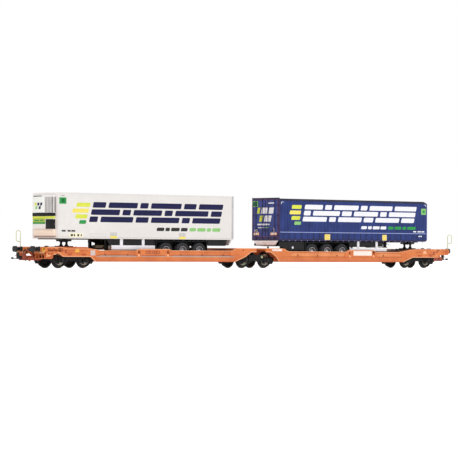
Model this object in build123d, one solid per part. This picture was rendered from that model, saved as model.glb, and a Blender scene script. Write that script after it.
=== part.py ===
from build123d import *
import os

# Scale model (1:87) of an articulated six-axle pocket wagon with two semi-trailers.
# Millimetres, +X along the wagon, near side -Y, +Z up.
# Every height below is written above the rail top; the origin lies one flange
# depth lower, under the middle of the wagon, where the flanges stand.

# ---------------------------------------------------------------- wagon
flange_depth = 0.7
bogie_x = 163.2            # end bogie centre from the wagon's middle
wheelbase = 20.7
axle_z = 5.3
side_y = 17.4              # outer face of the side sills
web_y = 16.2               # inner face of the side sills
deck_z = 13.4              # top of the decks over the bogies
deck_under = 12.2
floor_z = 5.2              # top of the pocket floor, where trailer wheels stand
beam_bottom = 3.8
headstock_s = 191.0        # outer face of the end beam from the middle
coupler_tip_s = 206.2      # tip of the coupler hook
buffer_face_s = 197.0
buffer_y = 10.06
buffer_z = 12.2
pocket_in = 23.5           # pocket's bulkhead by the middle bogie
pocket_out = 141.5         # pocket's bulkhead by the end bogie
gap_half = 4.6             # half the gap between the two frames' side sills
pin_r = 1.2
running = 0.05             # radial clearance of pins and axles

# ---------------------------------------------------------------- trailers
trailer_half = 14.66
wall = 0.9
tyre_r = 6.0
tyre_z = floor_z + 0.1 + tyre_r
kingpin_s = 163.2
trestle_top = 18.6

OUT = "parts"
os.makedirs(OUT, exist_ok=True)


def block(x0, x1, y0, y1, z0, z1):
    return Pos((x0 + x1) / 2, (y0 + y1) / 2, (z0 + z1) / 2) * Box(abs(x1 - x0), abs(y1 - y0), abs(z1 - z0))


def profile(points, y0, y1):
    """Side profile, points (x, z), as thick as y0 to y1."""
    face = make_face(Polyline(*[(x, y0, z) for x, z in points], close=True))
    return extrude(face, amount=y1 - y0, dir=(0, 1, 0))


def section(points, x0, x1):
    """Cross section, points (y, z), as long as x0 to x1."""
    face = make_face(Polyline(*[(x0, y, z) for y, z in points], close=True))
    return extrude(face, amount=x1 - x0, dir=(1, 0, 0))


def plan(points, z0, z1):
    """Outline in plan, points (x, y), as tall as z0 to z1."""
    face = make_face(Polyline(*[(x, y, z0) for x, y in points], close=True))
    return extrude(face, amount=z1 - z0, dir=(0, 0, 1))


def rod_x(x0, x1, y, z, r):
    return Pos((x0 + x1) / 2, y, z) * Rot(0, 90, 0) * Cylinder(r, abs(x1 - x0))


def rod_y(x, y0, y1, z, r):
    return Pos(x, (y0 + y1) / 2, z) * Rot(90, 0, 0) * Cylinder(r, abs(y1 - y0))


def rod_z(x, y, z0, z1, r):
    return Pos(x, y, (z0 + z1) / 2) * Cylinder(r, abs(z1 - z0))


def far(shape):
    return mirror(shape, about=Plane.XZ)


def turned(points, x, z):
    """Solid of revolution about an axle line; points (y, radius) of the near half."""
    right = [(y, r) for y, r in points]
    left = [(-y, r) for y, r in reversed(points)]
    ring = left + right
    face = make_face(Polyline(*[(0, y, r) for y, r in [(-points[-1][0], 0)] + ring + [(points[-1][0], 0)]], close=True))
    return Pos(x, 0, z) * revolve(face, axis=Axis.Y, revolution_arc=360)


def fuse(shapes):
    first, *rest = shapes
    for s in rest:
        first = first + s
    return first


def save(name, *shapes):
    solids = []
    for s in shapes:
        solids += list(s.solids())
    lifted = [Pos(0, 0, flange_depth) * s for s in solids]
    export_step(Compound(children=lifted) if len(lifted) > 1 else lifted[0], os.path.join(OUT, name + ".step"))


# ---------------------------------------------------------------- side sills
# columns: distance from the wagon's middle, height; along the top outwards, then back along the bottom
sill = {
    "left": [
        (gap_half, 13.6), (23.6, 13.6), (27.3, 11.7), (82.5, 11.6), (85.0, 12.6), (111.5, 12.6), (114.0, 11.4),
        (144.5, 11.4), (149.5, 12.3), (156.0, 12.6), (173.6, 12.65), (176.8, 13.4), (189.8, 13.4),
        (189.8, 9.9), (181.0, 9.9), (176.4, 7.1), (153.2, 7.1), (149.0, beam_bottom),
        (24.9, beam_bottom), (15.2, 7.3), (9.5, 10.8), (gap_half, 10.8)],
    "right": [
        (gap_half, 13.6), (20.5, 13.6), (26.4, 11.5), (83.0, 11.3), (86.0, 12.7), (111.0, 12.7), (113.6, 11.2),
        (135.5, 11.2), (140.3, 11.6), (145.1, 12.3), (149.9, 12.9), (154.7, 13.4), (189.8, 13.4),
        (189.8, 9.2), (177.5, 9.2), (175.0, 7.3), (152.0, 7.3), (142.0, beam_bottom),
        (17.6, beam_bottom), (13.9, 7.9), (9.0, 10.8), (gap_half, 10.8)],
}
# recessed panels of the sill's outer face. columns: from, to, lower edge, upper edge
panels = {
    "left": [(29.0, 81.5, 7.4, 11.0), (115.0, 146.0, 7.4, 10.9)],
    "right": [(29.0, 82.0, 7.4, 10.8), (115.0, 140.0, 7.4, 10.7)],
}
# gussets at the ends of the raised plate: distance from the middle
gussets = {"left": [84.9, 110.6], "right": [85.9, 110.2]}

for side, sx in (("left", -1), ("right", 1)):
    pts = [(sx * s, z) for s, z in sill[side]]
    web = profile(pts, -side_y, -web_y)
    for s0, s1, z0, z1 in panels[side]:
        web = web - block(sx * s0, sx * s1, -side_y - 1, -side_y + 0.45, z0, z1)
    for s in gussets[side]:
        web = web - block(sx * (s - 0.2), sx * (s + 2.2), -side_y - 1, -side_y + 0.45, 7.4, 11.6)
    # the pocket's inner ledge, under the top edge and along the bottom
    ledge = block(sx * 28.5, sx * 139.0, -web_y, -15.5, 10.4, 11.2) + block(sx * 25.2, sx * 141.5, -web_y, -15.5, beam_bottom, floor_z)
    near = web + ledge
    other = far(near)
    # bays between upright ribs behind the step, on the side where the step hangs
    for s0, s1, z0 in ((177.8, 180.4, 10.4), (181.2, 183.9, 10.7), (184.7, 188.6, 10.7)):
        hole = block(sx * s0, sx * s1, -side_y - 1, -web_y + 1, z0, 12.0)
        if side == "left":
            near = near - hole
        else:
            other = other - far(hole)
    save(side + "_side_sills", near, other)

    # ------------------------------------------------------------ pocket floor with ribs below
    floor = block(sx * (pocket_in + 1.0), sx * pocket_out, -15.5, 15.5, 4.4, floor_z)
    ribs = [block(sx * s, sx * (s + 1.0), -15.5, 15.5, beam_bottom, 4.4) for s in (26, 38, 50, 62, 74, 86, 98, 110, 122, 134)]
    spine = [block(sx * (pocket_in + 1.0), sx * pocket_out, y - 0.6, y + 0.6, beam_bottom, 4.4) for y in (-7.5, 7.5)]
    # drain openings between the wheel tracks
    cuts = [block(sx * s, sx * (s + 7.0), -4.5, 4.5, 3.0, 6.0) for s in (92, 104, 116)]
    pocket = fuse([floor] + ribs + spine)
    for c in cuts:
        pocket = pocket - c
    save(side + "_pocket_floor", pocket)

    # ------------------------------------------------------------ deck over the end bogie
    deck = block(sx * 155.0, sx * 189.8, -web_y, web_y, deck_under, deck_z)
    # the plate that rises from the pocket's edge to the flat deck
    deck = deck + profile([(sx * pocket_out, 11.2), (sx * 146.0, 11.4), (sx * 155.0, deck_z), (sx * 155.0, deck_under), (sx * 146.0, 10.2), (sx * pocket_out, 10.0)], -web_y, web_y)
    bulkhead = block(sx * pocket_out, sx * (pocket_out + 1.0), -web_y, web_y, 4.0, 10.6)
    bolster = block(sx * (bogie_x - 3.2), sx * (bogie_x + 3.2), -web_y, web_y, 9.95, deck_under)
    beams = [block(sx * (bogie_x + 3.2), sx * 189.8, y - 0.5, y + 0.5, 11.5, deck_under) for y in (-5.0, 5.0)]
    crossbar = block(sx * 182.0, sx * 183.0, -web_y, web_y, 10.6, deck_under)
    end = fuse([deck, bulkhead, bolster] + beams + [crossbar])
    # coupler guide below the deck, with the pin that the coupler swings on
    guide = block(sx * 183.0, sx * 189.8, -4.5, 4.5, 10.2, deck_under) + rod_z(sx * 185.0, 0, 6.4, 10.2, 0.8)
    end = end + guide - rod_z(sx * bogie_x, 0, 9.0, 11.8, pin_r + running)
    save(side + "_end_deck", end)

    # ------------------------------------------------------------ deck over the middle bogie, with its bearing tongue
    mdeck = block(sx * 5.4, sx * (pocket_in + 1.0), -web_y, web_y, deck_under, deck_z)
    mbulk = block(sx * pocket_in, sx * (pocket_in + 1.0), -web_y, web_y, 4.0, deck_under)
    if side == "left":
        t0, t1 = 10.6, 11.6
        tongue = rod_z(0, 0, t0, t1, 4.4) + block(0, sx * 12.0, -3.2, 3.2, t0, t1) + block(sx * 7.2, sx * 12.0, -3.2, 3.2, t1, deck_under)
    else:
        t0, t1 = 11.7, 12.7
        tongue = rod_z(0, 0, t0, t1, 4.4) + block(0, sx * 12.0, -3.2, 3.2, t0, t1)
    mid = mdeck + mbulk + tongue - rod_z(0, 0, 9.0, 15.0, pin_r + running)
    save(side + "_middle_deck", mid)

    # ------------------------------------------------------------ end beam and buffers
    head = section([(-17.4, 13.4), (17.4, 13.4), (17.4, 10.4), (14.0, 9.2), (4.8, 9.2), (4.8, 10.2), (-4.8, 10.2), (-4.8, 9.2), (-14.0, 9.2), (-17.4, 10.4)],
                   min(sx * 189.8, sx * headstock_s), max(sx * 189.8, sx * headstock_s))
    # shunter's step under one corner: two cheeks with two treads
    cheek = [(sx * 190.6, 11.4), (sx * 190.6, 6.4), (sx * 189.8, 5.6), (sx * 184.6, 5.6), (sx * 183.6, 6.6), (sx * 183.6, 8.6), (sx * 184.6, 9.0), (sx * 185.2, 11.4)]
    step_y = 1 if side == "right" else -1
    for y in (4.6, 15.0):
        head = head + profile(cheek, min(step_y * y, step_y * (y + 0.7)), max(step_y * y, step_y * (y + 0.7)))
    for z in (5.6, 8.2):
        head = head + block(sx * 184.8, sx * 190.2, step_y * 4.6, step_y * 15.7, z, z + 0.4)
    save(side + "_end_beam", head)
    bufs = []
    for y in (-buffer_y, buffer_y):
        shank = rod_x(sx * headstock_s, sx * 193.4, y, buffer_z, 1.5) + rod_x(sx * 193.4, sx * 196.0, y, buffer_z, 1.0)
        plate = Pos(sx * 196.5, y, buffer_z) * Rot(0, 90, 0) * extrude(RectangleRounded(4.0, 5.4, 1.5), amount=0.5, both=True)
        bufs.append(shank + plate)
    save(side + "_buffers", *bufs)

    # ------------------------------------------------------------ kingpin trestle
    k = sx * kingpin_s
    base = block(k - 5.0, k + 5.0, -4.0, 4.0, deck_z, 14.4)
    for y in (-2.6, 2.6):
        base = base + block(k - sx * 8.0, k + sx * 14.5, y - 0.5, y + 0.5, deck_z, 13.9)
    top = block(k - 3.6, k + 3.6, -4.0, 4.0, 17.5, trestle_top)
    legs = []
    for y in (-3.1, 3.1):
        legs.append(profile([(k - 1.7, 14.4), (k + 1.7, 14.4), (k + 0.7, 15.6), (k + 0.7, 16.8), (k + 1.4, 17.5),
                             (k - 1.4, 17.5), (k - 0.7, 16.8), (k - 0.7, 15.6)], y - 0.45, y + 0.45))
    trestle = fuse([base, top] + legs) - rod_z(k, 0, 14.6, 20.0, 0.8 + running)
    save(side + "_trestle", trestle)

    # ------------------------------------------------------------ wire handrail at one corner
    hy, hs, loop_out, loop_z = (16.6, 187.4, 3.5, 17.3) if side == "left" else (-16.6, 190.0, 4.4, 18.2)
    post = rod_z(sx * hs, hy, deck_z, 22.5, 0.25)
    path = FilletPolyline((sx * hs, hy, 22.5), (sx * hs, hy, 24.6), (sx * (hs + loop_out), hy, 24.6),
                          (sx * (hs + loop_out), hy, loop_z), (sx * hs, hy, loop_z), radius=1.5)
    loop = sweep(Plane(origin=(sx * hs, hy, 22.5), z_dir=(0, 0, 1)) * Circle(0.25), path=path)
    save(side + "_handrail", post + loop)

    # ------------------------------------------------------------ coupler: swinging pocket and hook
    pocket_box = plan([(sx * 183.4, -1.6), (sx * 186.4, -2.2), (sx * 199.0, -2.2), (sx * 199.0, 2.2), (sx * 186.4, 2.2), (sx * 183.4, 1.6)], 4.6, 7.8)
    pocket_box = pocket_box + block(sx * 195.2, sx * 197.4, -1.1, 1.1, 7.8, 9.5)
    pocket_box = pocket_box - rod_z(sx * 185.0, 0, 6.3, 9.0, 0.8 + running) - block(sx * 193.0, sx * 200.0, -1.4, 1.4, 5.4, 7.2)
    save(side + "_coupler_pocket", pocket_box)
    tip = coupler_tip_s
    hook = block(sx * 193.0, sx * (tip - 5.4), -1.4, 1.4, 5.4, 7.2) + block(sx * (tip - 5.4), sx * (tip - 4.4), -1.1, 1.1, 5.4, 10.0)
    hook = hook + block(sx * (tip - 4.4), sx * tip, -1.1, 1.1, 5.4, 5.9) + block(sx * (tip - 0.6), sx * tip, -1.1, 1.1, 5.9, 6.7)
    save(side + "_coupler_hook", hook)

# ---------------------------------------------------------------- bogies
# side frame profile. columns: from the bogie's middle, height
side_frame = [(-16.2, 7.2), (-16.2, 4.4), (-14.9, 2.3), (-12.6, 2.3), (-12.3, 4.1), (-8.4, 4.1), (-8.1, 2.3), (-6.6, 2.9), (-5.0, 4.6),
              (5.0, 4.6), (6.6, 2.9), (8.1, 2.3), (8.4, 4.1), (12.3, 4.1), (12.6, 2.3), (14.9, 2.3), (16.2, 4.4), (16.2, 7.2),
              (7.4, 7.6), (5.6, 8.8), (-5.6, 8.8), (-7.4, 7.6)]
wheel_points = [(7.0, 0.95), (7.0, 1.7), (7.9, 1.9), (7.9, 4.3), (7.2, 4.5), (7.2, 5.8), (7.4, 6.0), (7.7, 6.0), (8.1, 5.35),
                (10.0, 5.25), (10.0, 4.4), (9.3, 4.2), (9.2, 1.9), (10.1, 1.6), (10.1, 0.7), (11.5, 0.7)]

for name, bx, pin_top in (("left", -bogie_x, 11.6), ("middle", 0.0, 12.95), ("right", bogie_x, 11.6)):
    sides = []
    for sy in (-1, 1):
        y0, y1 = sorted((sy * 10.5, sy * 12.2))
        sf = profile([(bx + x, z) for x, z in side_frame], y0, y1)
        for ax in (-wheelbase / 2, wheelbase / 2):
            sf = sf - rod_y(bx + ax, sy * 10.0, sy * 11.6, axle_z, 0.7 + running)
        sides.append(sf)
    cross = block(bx - 2.6, bx + 2.6, -10.5, 10.5, 6.6, 9.0)
    bowl_top = 9.85 if name != "middle" else 10.5
    bowl = rod_z(bx, 0, 9.0, bowl_top, 3.2) + rod_z(bx, 0, bowl_top, pin_top, pin_r)
    brakes = []
    for sx in (-1, 1):
        brakes.append(block(bx + sx * 2.6, bx + sx * 3.5, -9.6, 9.6, 6.6, 7.4))
        for sy in (-1, 1):
            brakes.append(block(bx + sx * 2.6, bx + sx * 4.0, sy * 8.0, sy * 9.6, 4.4, 7.4))
    save(name + "_bogie_frame", fuse(sides + [cross] + [bowl] + brakes))

    boxes = []
    for ax in (-wheelbase / 2, wheelbase / 2):
        for sy in (-1, 1):
            x = bx + ax
            box = block(x - 1.9, x + 1.9, sy * 12.2, sy * 12.9, 3.5, 7.1) + rod_y(x, sy * 12.9, sy * 13.3, axle_z, 1.35)
            box = box + block(x - 3.6, x + 3.6, sy * 12.2, sy * 12.7, 3.6, 4.3)
            for d in (-2.9, 2.9):
                box = box + rod_z(x + d, sy * 12.95, 3.6, 7.0, 0.75) + block(x + d - 0.75, x + d + 0.75, sy * 12.2, sy * 12.95, 3.6, 7.0)
            boxes.append(box)
    save(name + "_axle_boxes", *boxes)

    for label, ax in (("outer" if name != "middle" else "left", -wheelbase / 2), ("inner" if name != "middle" else "right", wheelbase / 2)):
        if name == "right":
            label = {"outer": "inner", "inner": "outer"}[label]
        save(name + "_" + label + "_wheelset", turned(wheel_points, bx + ax, axle_z))

# ---------------------------------------------------------------- trailers
# columns: name, front x, rear x, body bottom, body top, axle positions, legs x, legs' lower end, front wall, front direction
trailers = [
    ("white", -178.7, -24.1, 19.4, 50.35, (-85.0, -69.9, -54.8), -134.0, 10.2, 0.9, -1),
    ("blue", 170.4, 18.9, 19.3, 49.6, (52.3, 67.3, 82.3), 130.5, 14.6, 1.5, 1),
]
# side guards. columns: upper panel (points x, z), posts (from, to), lower rail (from, to, z, z), rear valance (points x, z)
guards = {
    "white": ([(-136.9, 18.9), (-134.3, 15.0), (-94.8, 15.0), (-94.8, 18.9)], [(-125.6, -123.0), (-106.4, -104.1)], (-132.9, -94.8, 12.1, 15.05),
              [(-46.9, 18.9), (-46.9, 15.1), (-30.4, 15.1), (-30.4, 18.9)]),
    "blue": ([(90.3, 18.8), (90.3, 15.3), (124.4, 15.3), (124.4, 18.8)], [(97.6, 99.8), (116.5, 118.7)], (89.8, 128.1, 11.9, 13.9),
             [(20.6, 18.8), (19.8, 15.6), (30.6, 12.1), (45.2, 12.1), (45.2, 18.8)]),
}
tyre_points = [(9.8, 0.8), (9.8, 3.0), (10.1, 5.3), (10.6, 6.0), (13.6, 6.0), (14.2, 5.4), (14.3, 3.4), (13.3, 3.1), (13.1, 1.5), (14.0, 1.2), (14.0, 0.3)]

for name, front, rear, z0, z1, axles, leg_x, leg_z, front_wall, d in trailers:
    kx = d * kingpin_s
    lo, hi = min(front, rear), max(front, rear)

    # ------------------------------------------------------------ body panels
    fx = front - d * front_wall
    floor = block(fx, rear + d * wall, -trailer_half, trailer_half, z0, z0 + 0.9)
    roof = block(fx, rear + d * wall, -trailer_half, trailer_half, z1 - 0.9, z1)
    side = block(fx, rear + d * wall, -trailer_half, -trailer_half + wall, z0 + 0.9, z1 - 0.9)
    fw = block(front, fx, -trailer_half, trailer_half, z0, z1)
    if name == "blue":
        fw = fillet(fw.edges().group_by(Axis.X)[-1], 1.2)
        # cut corners along the front's top and bottom edges
        over = profile([(front - 4.4, z1), (front + 1.0, z1 - 2.209), (front + 1.0, z1 + 1.0), (front - 4.4, z1 + 1.0)], -16.0, 16.0)
        under = profile([(front - 2.4, z0), (front + 1.0, z0 + 2.125), (front + 1.0, z0 - 1.0), (front - 2.4, z0 - 1.0)], -16.0, 16.0)
        roof, floor, side, fw = roof - over, floor - under, side - over - under, fw - over - under
    save(name + "_floor", floor)
    save(name + "_roof", roof)
    save(name + "_front_wall", fw)
    save(name + ("_side_walls" if name == "white" else "_side_curtains"), side, far(side))
    leaves = []
    for sy in (-1, 1):
        leaves.append(block(rear + d * wall, rear, sy * 0.08, sy * (trailer_half - 0.9), z0 + 1.6, z1 - 1.0))
    save(name + "_rear_doors", *leaves)

    frame_top = z1 + (0.0 if name == "white" else 0.7)
    outer = block(rear + d * wall, rear, -trailer_half, trailer_half, z0, frame_top)
    inner = block(rear + d * 5, rear - d * 5, -trailer_half + 0.9, trailer_half - 0.9, z0 + 1.6, z1 - 1.0)
    save(name + "_rear_frame", outer - inner)

    # ------------------------------------------------------------ chassis with kingpin plate and axle carriers
    first, last = (axles[0], axles[-1]) if d < 0 else (axles[-1], axles[0])
    tail = rear + d * 3.0
    low = z0 - 4.3
    rails = []
    for y in (-6.0, 6.0):
        pts = [(kx + d * 5.0, z0), (kx + d * 5.0, z0 - 0.6), (leg_x + d * 2.9, z0 - 0.6), (leg_x + d * 0.2, z0 - 2.1), (leg_x - d * 6.3, low),
               (last - d * 10.0, low), (tail, z0 - 2.4), (tail, z0)]
        rails.append(profile(pts, y - 0.6, y + 0.6))
    plate = block(kx - 4.2, kx + 4.2, -4.6, 4.6, trestle_top + 0.05, z0)
    pin = rod_z(kx, 0, 17.0, trestle_top + 0.05, 0.8)
    front_beam = block(kx + d * 3.6, kx + d * 5.0, -6.6, 6.6, z0 - 0.6, z0)
    crosses = [block(x - 0.5, x + 0.5, -12.0, 12.0, z0 - 1.0, z0) for x in (leg_x - d * 14, axles[0] + 7.5, axles[1] + 7.5, axles[2] + 7.5, tail + d * 1.0)]
    # long hanger plates beside the wheels, each with its axle bores and two lightening holes
    hangers = []
    for y in (-7.6, 7.6):
        h = profile([(first + d * 9.0, z0 - 2.0), (first + d * 7.0, 11.6), (first + d * 2.0, 9.9), (last - d * 2.0, 9.9), (last - d * 9.6, 11.6), (last - d * 10.6, 15.0),
                     (last - d * 10.6, z0 - 2.0)], y - 1.1, y + 1.1)
        for x in axles:
            h = h - rod_y(x, y - 3, y + 3, tyre_z, 0.8 + running) + block(x - 3.0, x + 3.0, y - 1.1, y + 1.1, z0 - 2.0, z0)
        for x in (last + d * 3.5, last - d * 9.1):
            h = h - rod_y(x, y - 3, y + 3, 14.2, 0.9)
        hangers.append(h)
    # mudguards over the wheels, held by flaps at both ends
    muds = []
    for y0, y1 in ((-14.2, -9.9), (9.9, 14.2)):
        m0, m1 = first + d * (9.4 if name == "white" else 7.4), last - d * 6.9
        muds.append(block(m0, m1, y0, y1, tyre_z + 6.7, tyre_z + 7.1))
        for x in (m0, m1 + d * 0.6):
            muds.append(block(x, x - d * 0.6, y0, y1, 12.0, z0))
    if name == "white":
        # air tank across the frame behind the landing legs, on two brackets
        muds.append(rod_y(-131.2, -9.8, 9.8, 13.6, 1.6))
        for y in (-6.0, 6.0):
            muds.append(block(-131.9, -130.5, y - 0.4, y + 0.4, 14.4, z0 - 0.7))
    save(name + "_chassis", fuse([plate, pin, front_beam] + rails + crosses + hangers + muds))

    # ------------------------------------------------------------ landing legs with a brace between them
    legs = []
    for y in (-9.2, 9.2):
        legs.append(block(leg_x - 0.9, leg_x + 0.9, y - 0.9, y + 0.9, leg_z + 0.6, z0))
        legs.append(block(leg_x - 1.3, leg_x + 1.3, y - 1.3, y + 1.3, leg_z, leg_z + 0.6))
    if name == "white":
        legs.append(section([(-8.4, 15.0), (-5.0, 13.4), (0.0, 12.9), (5.0, 13.4), (8.4, 15.0), (8.4, 14.2), (5.0, 12.7), (0.0, 12.2), (-5.0, 12.7), (-8.4, 14.2)], leg_x - 0.4, leg_x + 0.4))
    else:
        legs.append(block(leg_x - 0.4, leg_x + 0.4, -8.4, 8.4, leg_z, leg_z + 0.35))
    save(name + "_landing_legs", fuse(legs))

    # ------------------------------------------------------------ side guards: panel, posts and lower rail, with a valance behind the wheels
    panel, posts, rail, valance = guards[name]
    pieces = []
    for sy in (-1, 1):
        if name == "white" and sy > 0:
            # the set on the far side starts behind the landing legs
            panel, rail = [(-126.2, 18.9), (-126.2, 15.0), (-94.8, 15.0), (-94.8, 18.9)], (-126.2, -94.8, 12.1, 15.05)
        if name == "blue" and sy > 0:
            # the far valance keeps a level lower edge
            valance = [(20.6, 18.8), (19.8, 15.6), (31.0, 15.2), (45.2, 15.2), (45.2, 18.8)]
        y0, y1 = sorted((sy * 13.2, sy * 13.6))
        p0, p1 = sorted((sy * 13.2, sy * 13.9))
        g = profile(panel, y0, y1) + block(rail[0], rail[1], p0, p1, rail[2], rail[3])
        for a, b in posts:
            g = g + block(a, b, p0, p1, rail[3], z0)
        pieces.append(g)
        v = profile(valance, y0, y1)
        v = v + block(valance[0][0] + 4.0, valance[0][0] + 5.0, y0, y1, 18.7, z0)
        pieces.append(v)
    save(name + "_side_guards", *pieces)

    # ------------------------------------------------------------ rear bumper
    save(name + "_rear_bumper", section([(-13.0, z0), (-12.4, z0 - 1.0), (-9.6, z0 - 3.8), (9.6, z0 - 3.8), (12.4, z0 - 1.0), (13.0, z0)], *sorted((rear + d * 0.1, rear + d * 1.1))))

    for label, x in zip(("first", "second", "third"), sorted(axles, key=lambda v: -d * v)):
        save(name + "_" + label + "_axle", turned([(8.9, 0.8)] + tyre_points, x, tyre_z))

# ---------------------------------------------------------------- cooling unit on the white trailer's front
unit_x0, unit_x1 = -181.0, -178.7
unit = block(unit_x0, unit_x1, -11.8, 11.8, 25.5, 48.6) + block(unit_x0 + 0.8, unit_x1, -11.8, 11.8, 21.0, 25.5)
save("white_cooling_unit", unit)
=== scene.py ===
import math
import random

import bmesh
import bpy
from mathutils import Matrix, Vector


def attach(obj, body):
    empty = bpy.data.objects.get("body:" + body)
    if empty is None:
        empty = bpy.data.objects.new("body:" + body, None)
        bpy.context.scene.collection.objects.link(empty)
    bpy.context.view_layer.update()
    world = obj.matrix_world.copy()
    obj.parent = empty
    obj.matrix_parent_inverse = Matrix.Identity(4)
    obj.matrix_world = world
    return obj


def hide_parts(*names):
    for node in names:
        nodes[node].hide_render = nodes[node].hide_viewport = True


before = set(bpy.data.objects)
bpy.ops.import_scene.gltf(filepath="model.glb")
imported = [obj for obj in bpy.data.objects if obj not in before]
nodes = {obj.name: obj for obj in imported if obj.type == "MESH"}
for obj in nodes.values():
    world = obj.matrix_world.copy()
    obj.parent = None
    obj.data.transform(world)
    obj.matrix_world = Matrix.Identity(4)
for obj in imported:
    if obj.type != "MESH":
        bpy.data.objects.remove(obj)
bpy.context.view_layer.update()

# Lengths below are millimetres, heights are above the rail top, which is one flange depth over the origin.
FLANGE = 0.7
MM = 0.001
random.seed(7)


# ------------------------------------------------------------------ camera
def camera():
    az, el, ro = math.radians(40.462), math.radians(-0.5037), math.radians(0.2978)
    focal, dist, tx, tz = 2507.04, 1808.12, 11.863, -27.469
    d = Vector((math.sin(az) * math.cos(el), math.cos(az) * math.cos(el), -math.sin(el)))
    r = Vector((math.cos(az), -math.sin(az), 0))
    u = r.cross(d)
    row0 = math.cos(ro) * r + math.sin(ro) * u
    row1 = -math.sin(ro) * r + math.cos(ro) * u
    place = -(row0 * tx + row1 * tz + d * dist)
    place.z += FLANGE
    m = Matrix((row0, row1, -d)).transposed().to_4x4()
    m.translation = place * MM
    data = bpy.data.cameras.new("camera")
    data.sensor_width = 36.0
    data.lens = focal / 458.0 * 36.0
    data.clip_start, data.clip_end = 0.05, 100.0
    cam = bpy.data.objects.new("camera", data)
    bpy.context.scene.collection.objects.link(cam)
    cam.matrix_world = m
    bpy.context.scene.camera = cam


camera()


# ------------------------------------------------------------------ node helpers
def material(name):
    m = bpy.data.materials.new(name)
    m.use_nodes = True
    nt = m.node_tree
    bsdf = nt.nodes["Principled BSDF"]
    return m, nt, bsdf


def add(nt, kind, **values):
    n = nt.nodes.new(kind)
    for k, v in values.items():
        if k in n.inputs:
            n.inputs[k].default_value = v
        else:
            setattr(n, k, v)
    return n


def ramp(nt, fac, stops):
    n = nt.nodes.new("ShaderNodeValToRGB")
    while len(n.color_ramp.elements) < len(stops):
        n.color_ramp.elements.new(0.5)
    for e, (p, c) in zip(n.color_ramp.elements, stops):
        e.position = p
        e.color = (*c, 1) if len(c) == 3 else c
    nt.links.new(fac, n.inputs["Fac"])
    return n.outputs["Color"]


def lin(r, g, b):
    """sRGB 0..255 to linear."""
    def f(c):
        c /= 255.0
        return c / 12.92 if c <= 0.04045 else ((c + 0.055) / 1.055) ** 2.4
    return (f(r), f(g), f(b))


def painted(name, base, shade, rough=(0.38, 0.52), scale=900.0, bump=0.06, fine=5200.0, coat=0.0, spec=0.45, metal=0.0, low_darkening=None):
    """Moulded or sprayed surface: cloudy tone, uneven gloss, fine orange-peel bump, and a darker tone towards the low
    side.
    """
    m, nt, bsdf = material(name)
    tc = nt.nodes.new("ShaderNodeTexCoord")
    big = add(nt, "ShaderNodeTexNoise", Scale=scale * 0.12, Detail=3.0, Roughness=0.55)
    mid = add(nt, "ShaderNodeTexNoise", Scale=scale, Detail=4.0, Roughness=0.6)
    tiny = add(nt, "ShaderNodeTexNoise", Scale=fine, Detail=2.0, Roughness=0.5)
    for n in (big, mid, tiny):
        nt.links.new(tc.outputs["Object"], n.inputs["Vector"])
    both = add(nt, "ShaderNodeMath", operation="MULTIPLY_ADD")
    nt.links.new(mid.outputs["Fac"], both.inputs[0])
    both.inputs[1].default_value = 0.4
    nt.links.new(big.outputs["Fac"], both.inputs[2])
    col = ramp(nt, both.outputs[0], [(0.45, shade), (0.78, base), (0.95, tuple(min(1.0, c * 1.06 + 0.004) for c in base))])
    # darker towards the bottom: below z1 the colour blends in patches towards the given tone, most at z0
    if low_darkening:
        tone, z0, z1, most = low_darkening
        sep = nt.nodes.new("ShaderNodeSeparateXYZ")
        nt.links.new(tc.outputs["Object"], sep.inputs[0])
        rng = add(nt, "ShaderNodeMapRange")
        nt.links.new(sep.outputs["Z"], rng.inputs["Value"])
        rng.inputs["From Min"].default_value = (z1 + FLANGE) * MM
        rng.inputs["From Max"].default_value = (z0 + FLANGE) * MM
        rng.inputs["To Max"].default_value = most
        mul = add(nt, "ShaderNodeMath", operation="MULTIPLY")
        nt.links.new(rng.outputs["Result"], mul.inputs[0])
        nt.links.new(mid.outputs["Fac"], mul.inputs[1])
        mix = add(nt, "ShaderNodeMix", data_type="RGBA")
        nt.links.new(mul.outputs[0], mix.inputs["Factor"])
        nt.links.new(col, mix.inputs[6])
        mix.inputs[7].default_value = (*tone, 1)
        col = mix.outputs[2]
    nt.links.new(col, bsdf.inputs["Base Color"])
    rr = add(nt, "ShaderNodeMapRange")
    nt.links.new(mid.outputs["Fac"], rr.inputs["Value"])
    rr.inputs["From Min"].default_value, rr.inputs["From Max"].default_value = 0.3, 0.7
    rr.inputs["To Min"].default_value, rr.inputs["To Max"].default_value = rough
    nt.links.new(rr.outputs["Result"], bsdf.inputs["Roughness"])
    b = add(nt, "ShaderNodeBump", Strength=bump, Distance=0.00006)
    nt.links.new(tiny.outputs["Fac"], b.inputs["Height"])
    nt.links.new(b.outputs["Normal"], bsdf.inputs["Normal"])
    bsdf.inputs["Specular IOR Level"].default_value = spec
    bsdf.inputs["Metallic"].default_value = metal
    if coat:
        bsdf.inputs["Coat Weight"].default_value = coat
        bsdf.inputs["Coat Roughness"].default_value = 0.12
    return m


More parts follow.
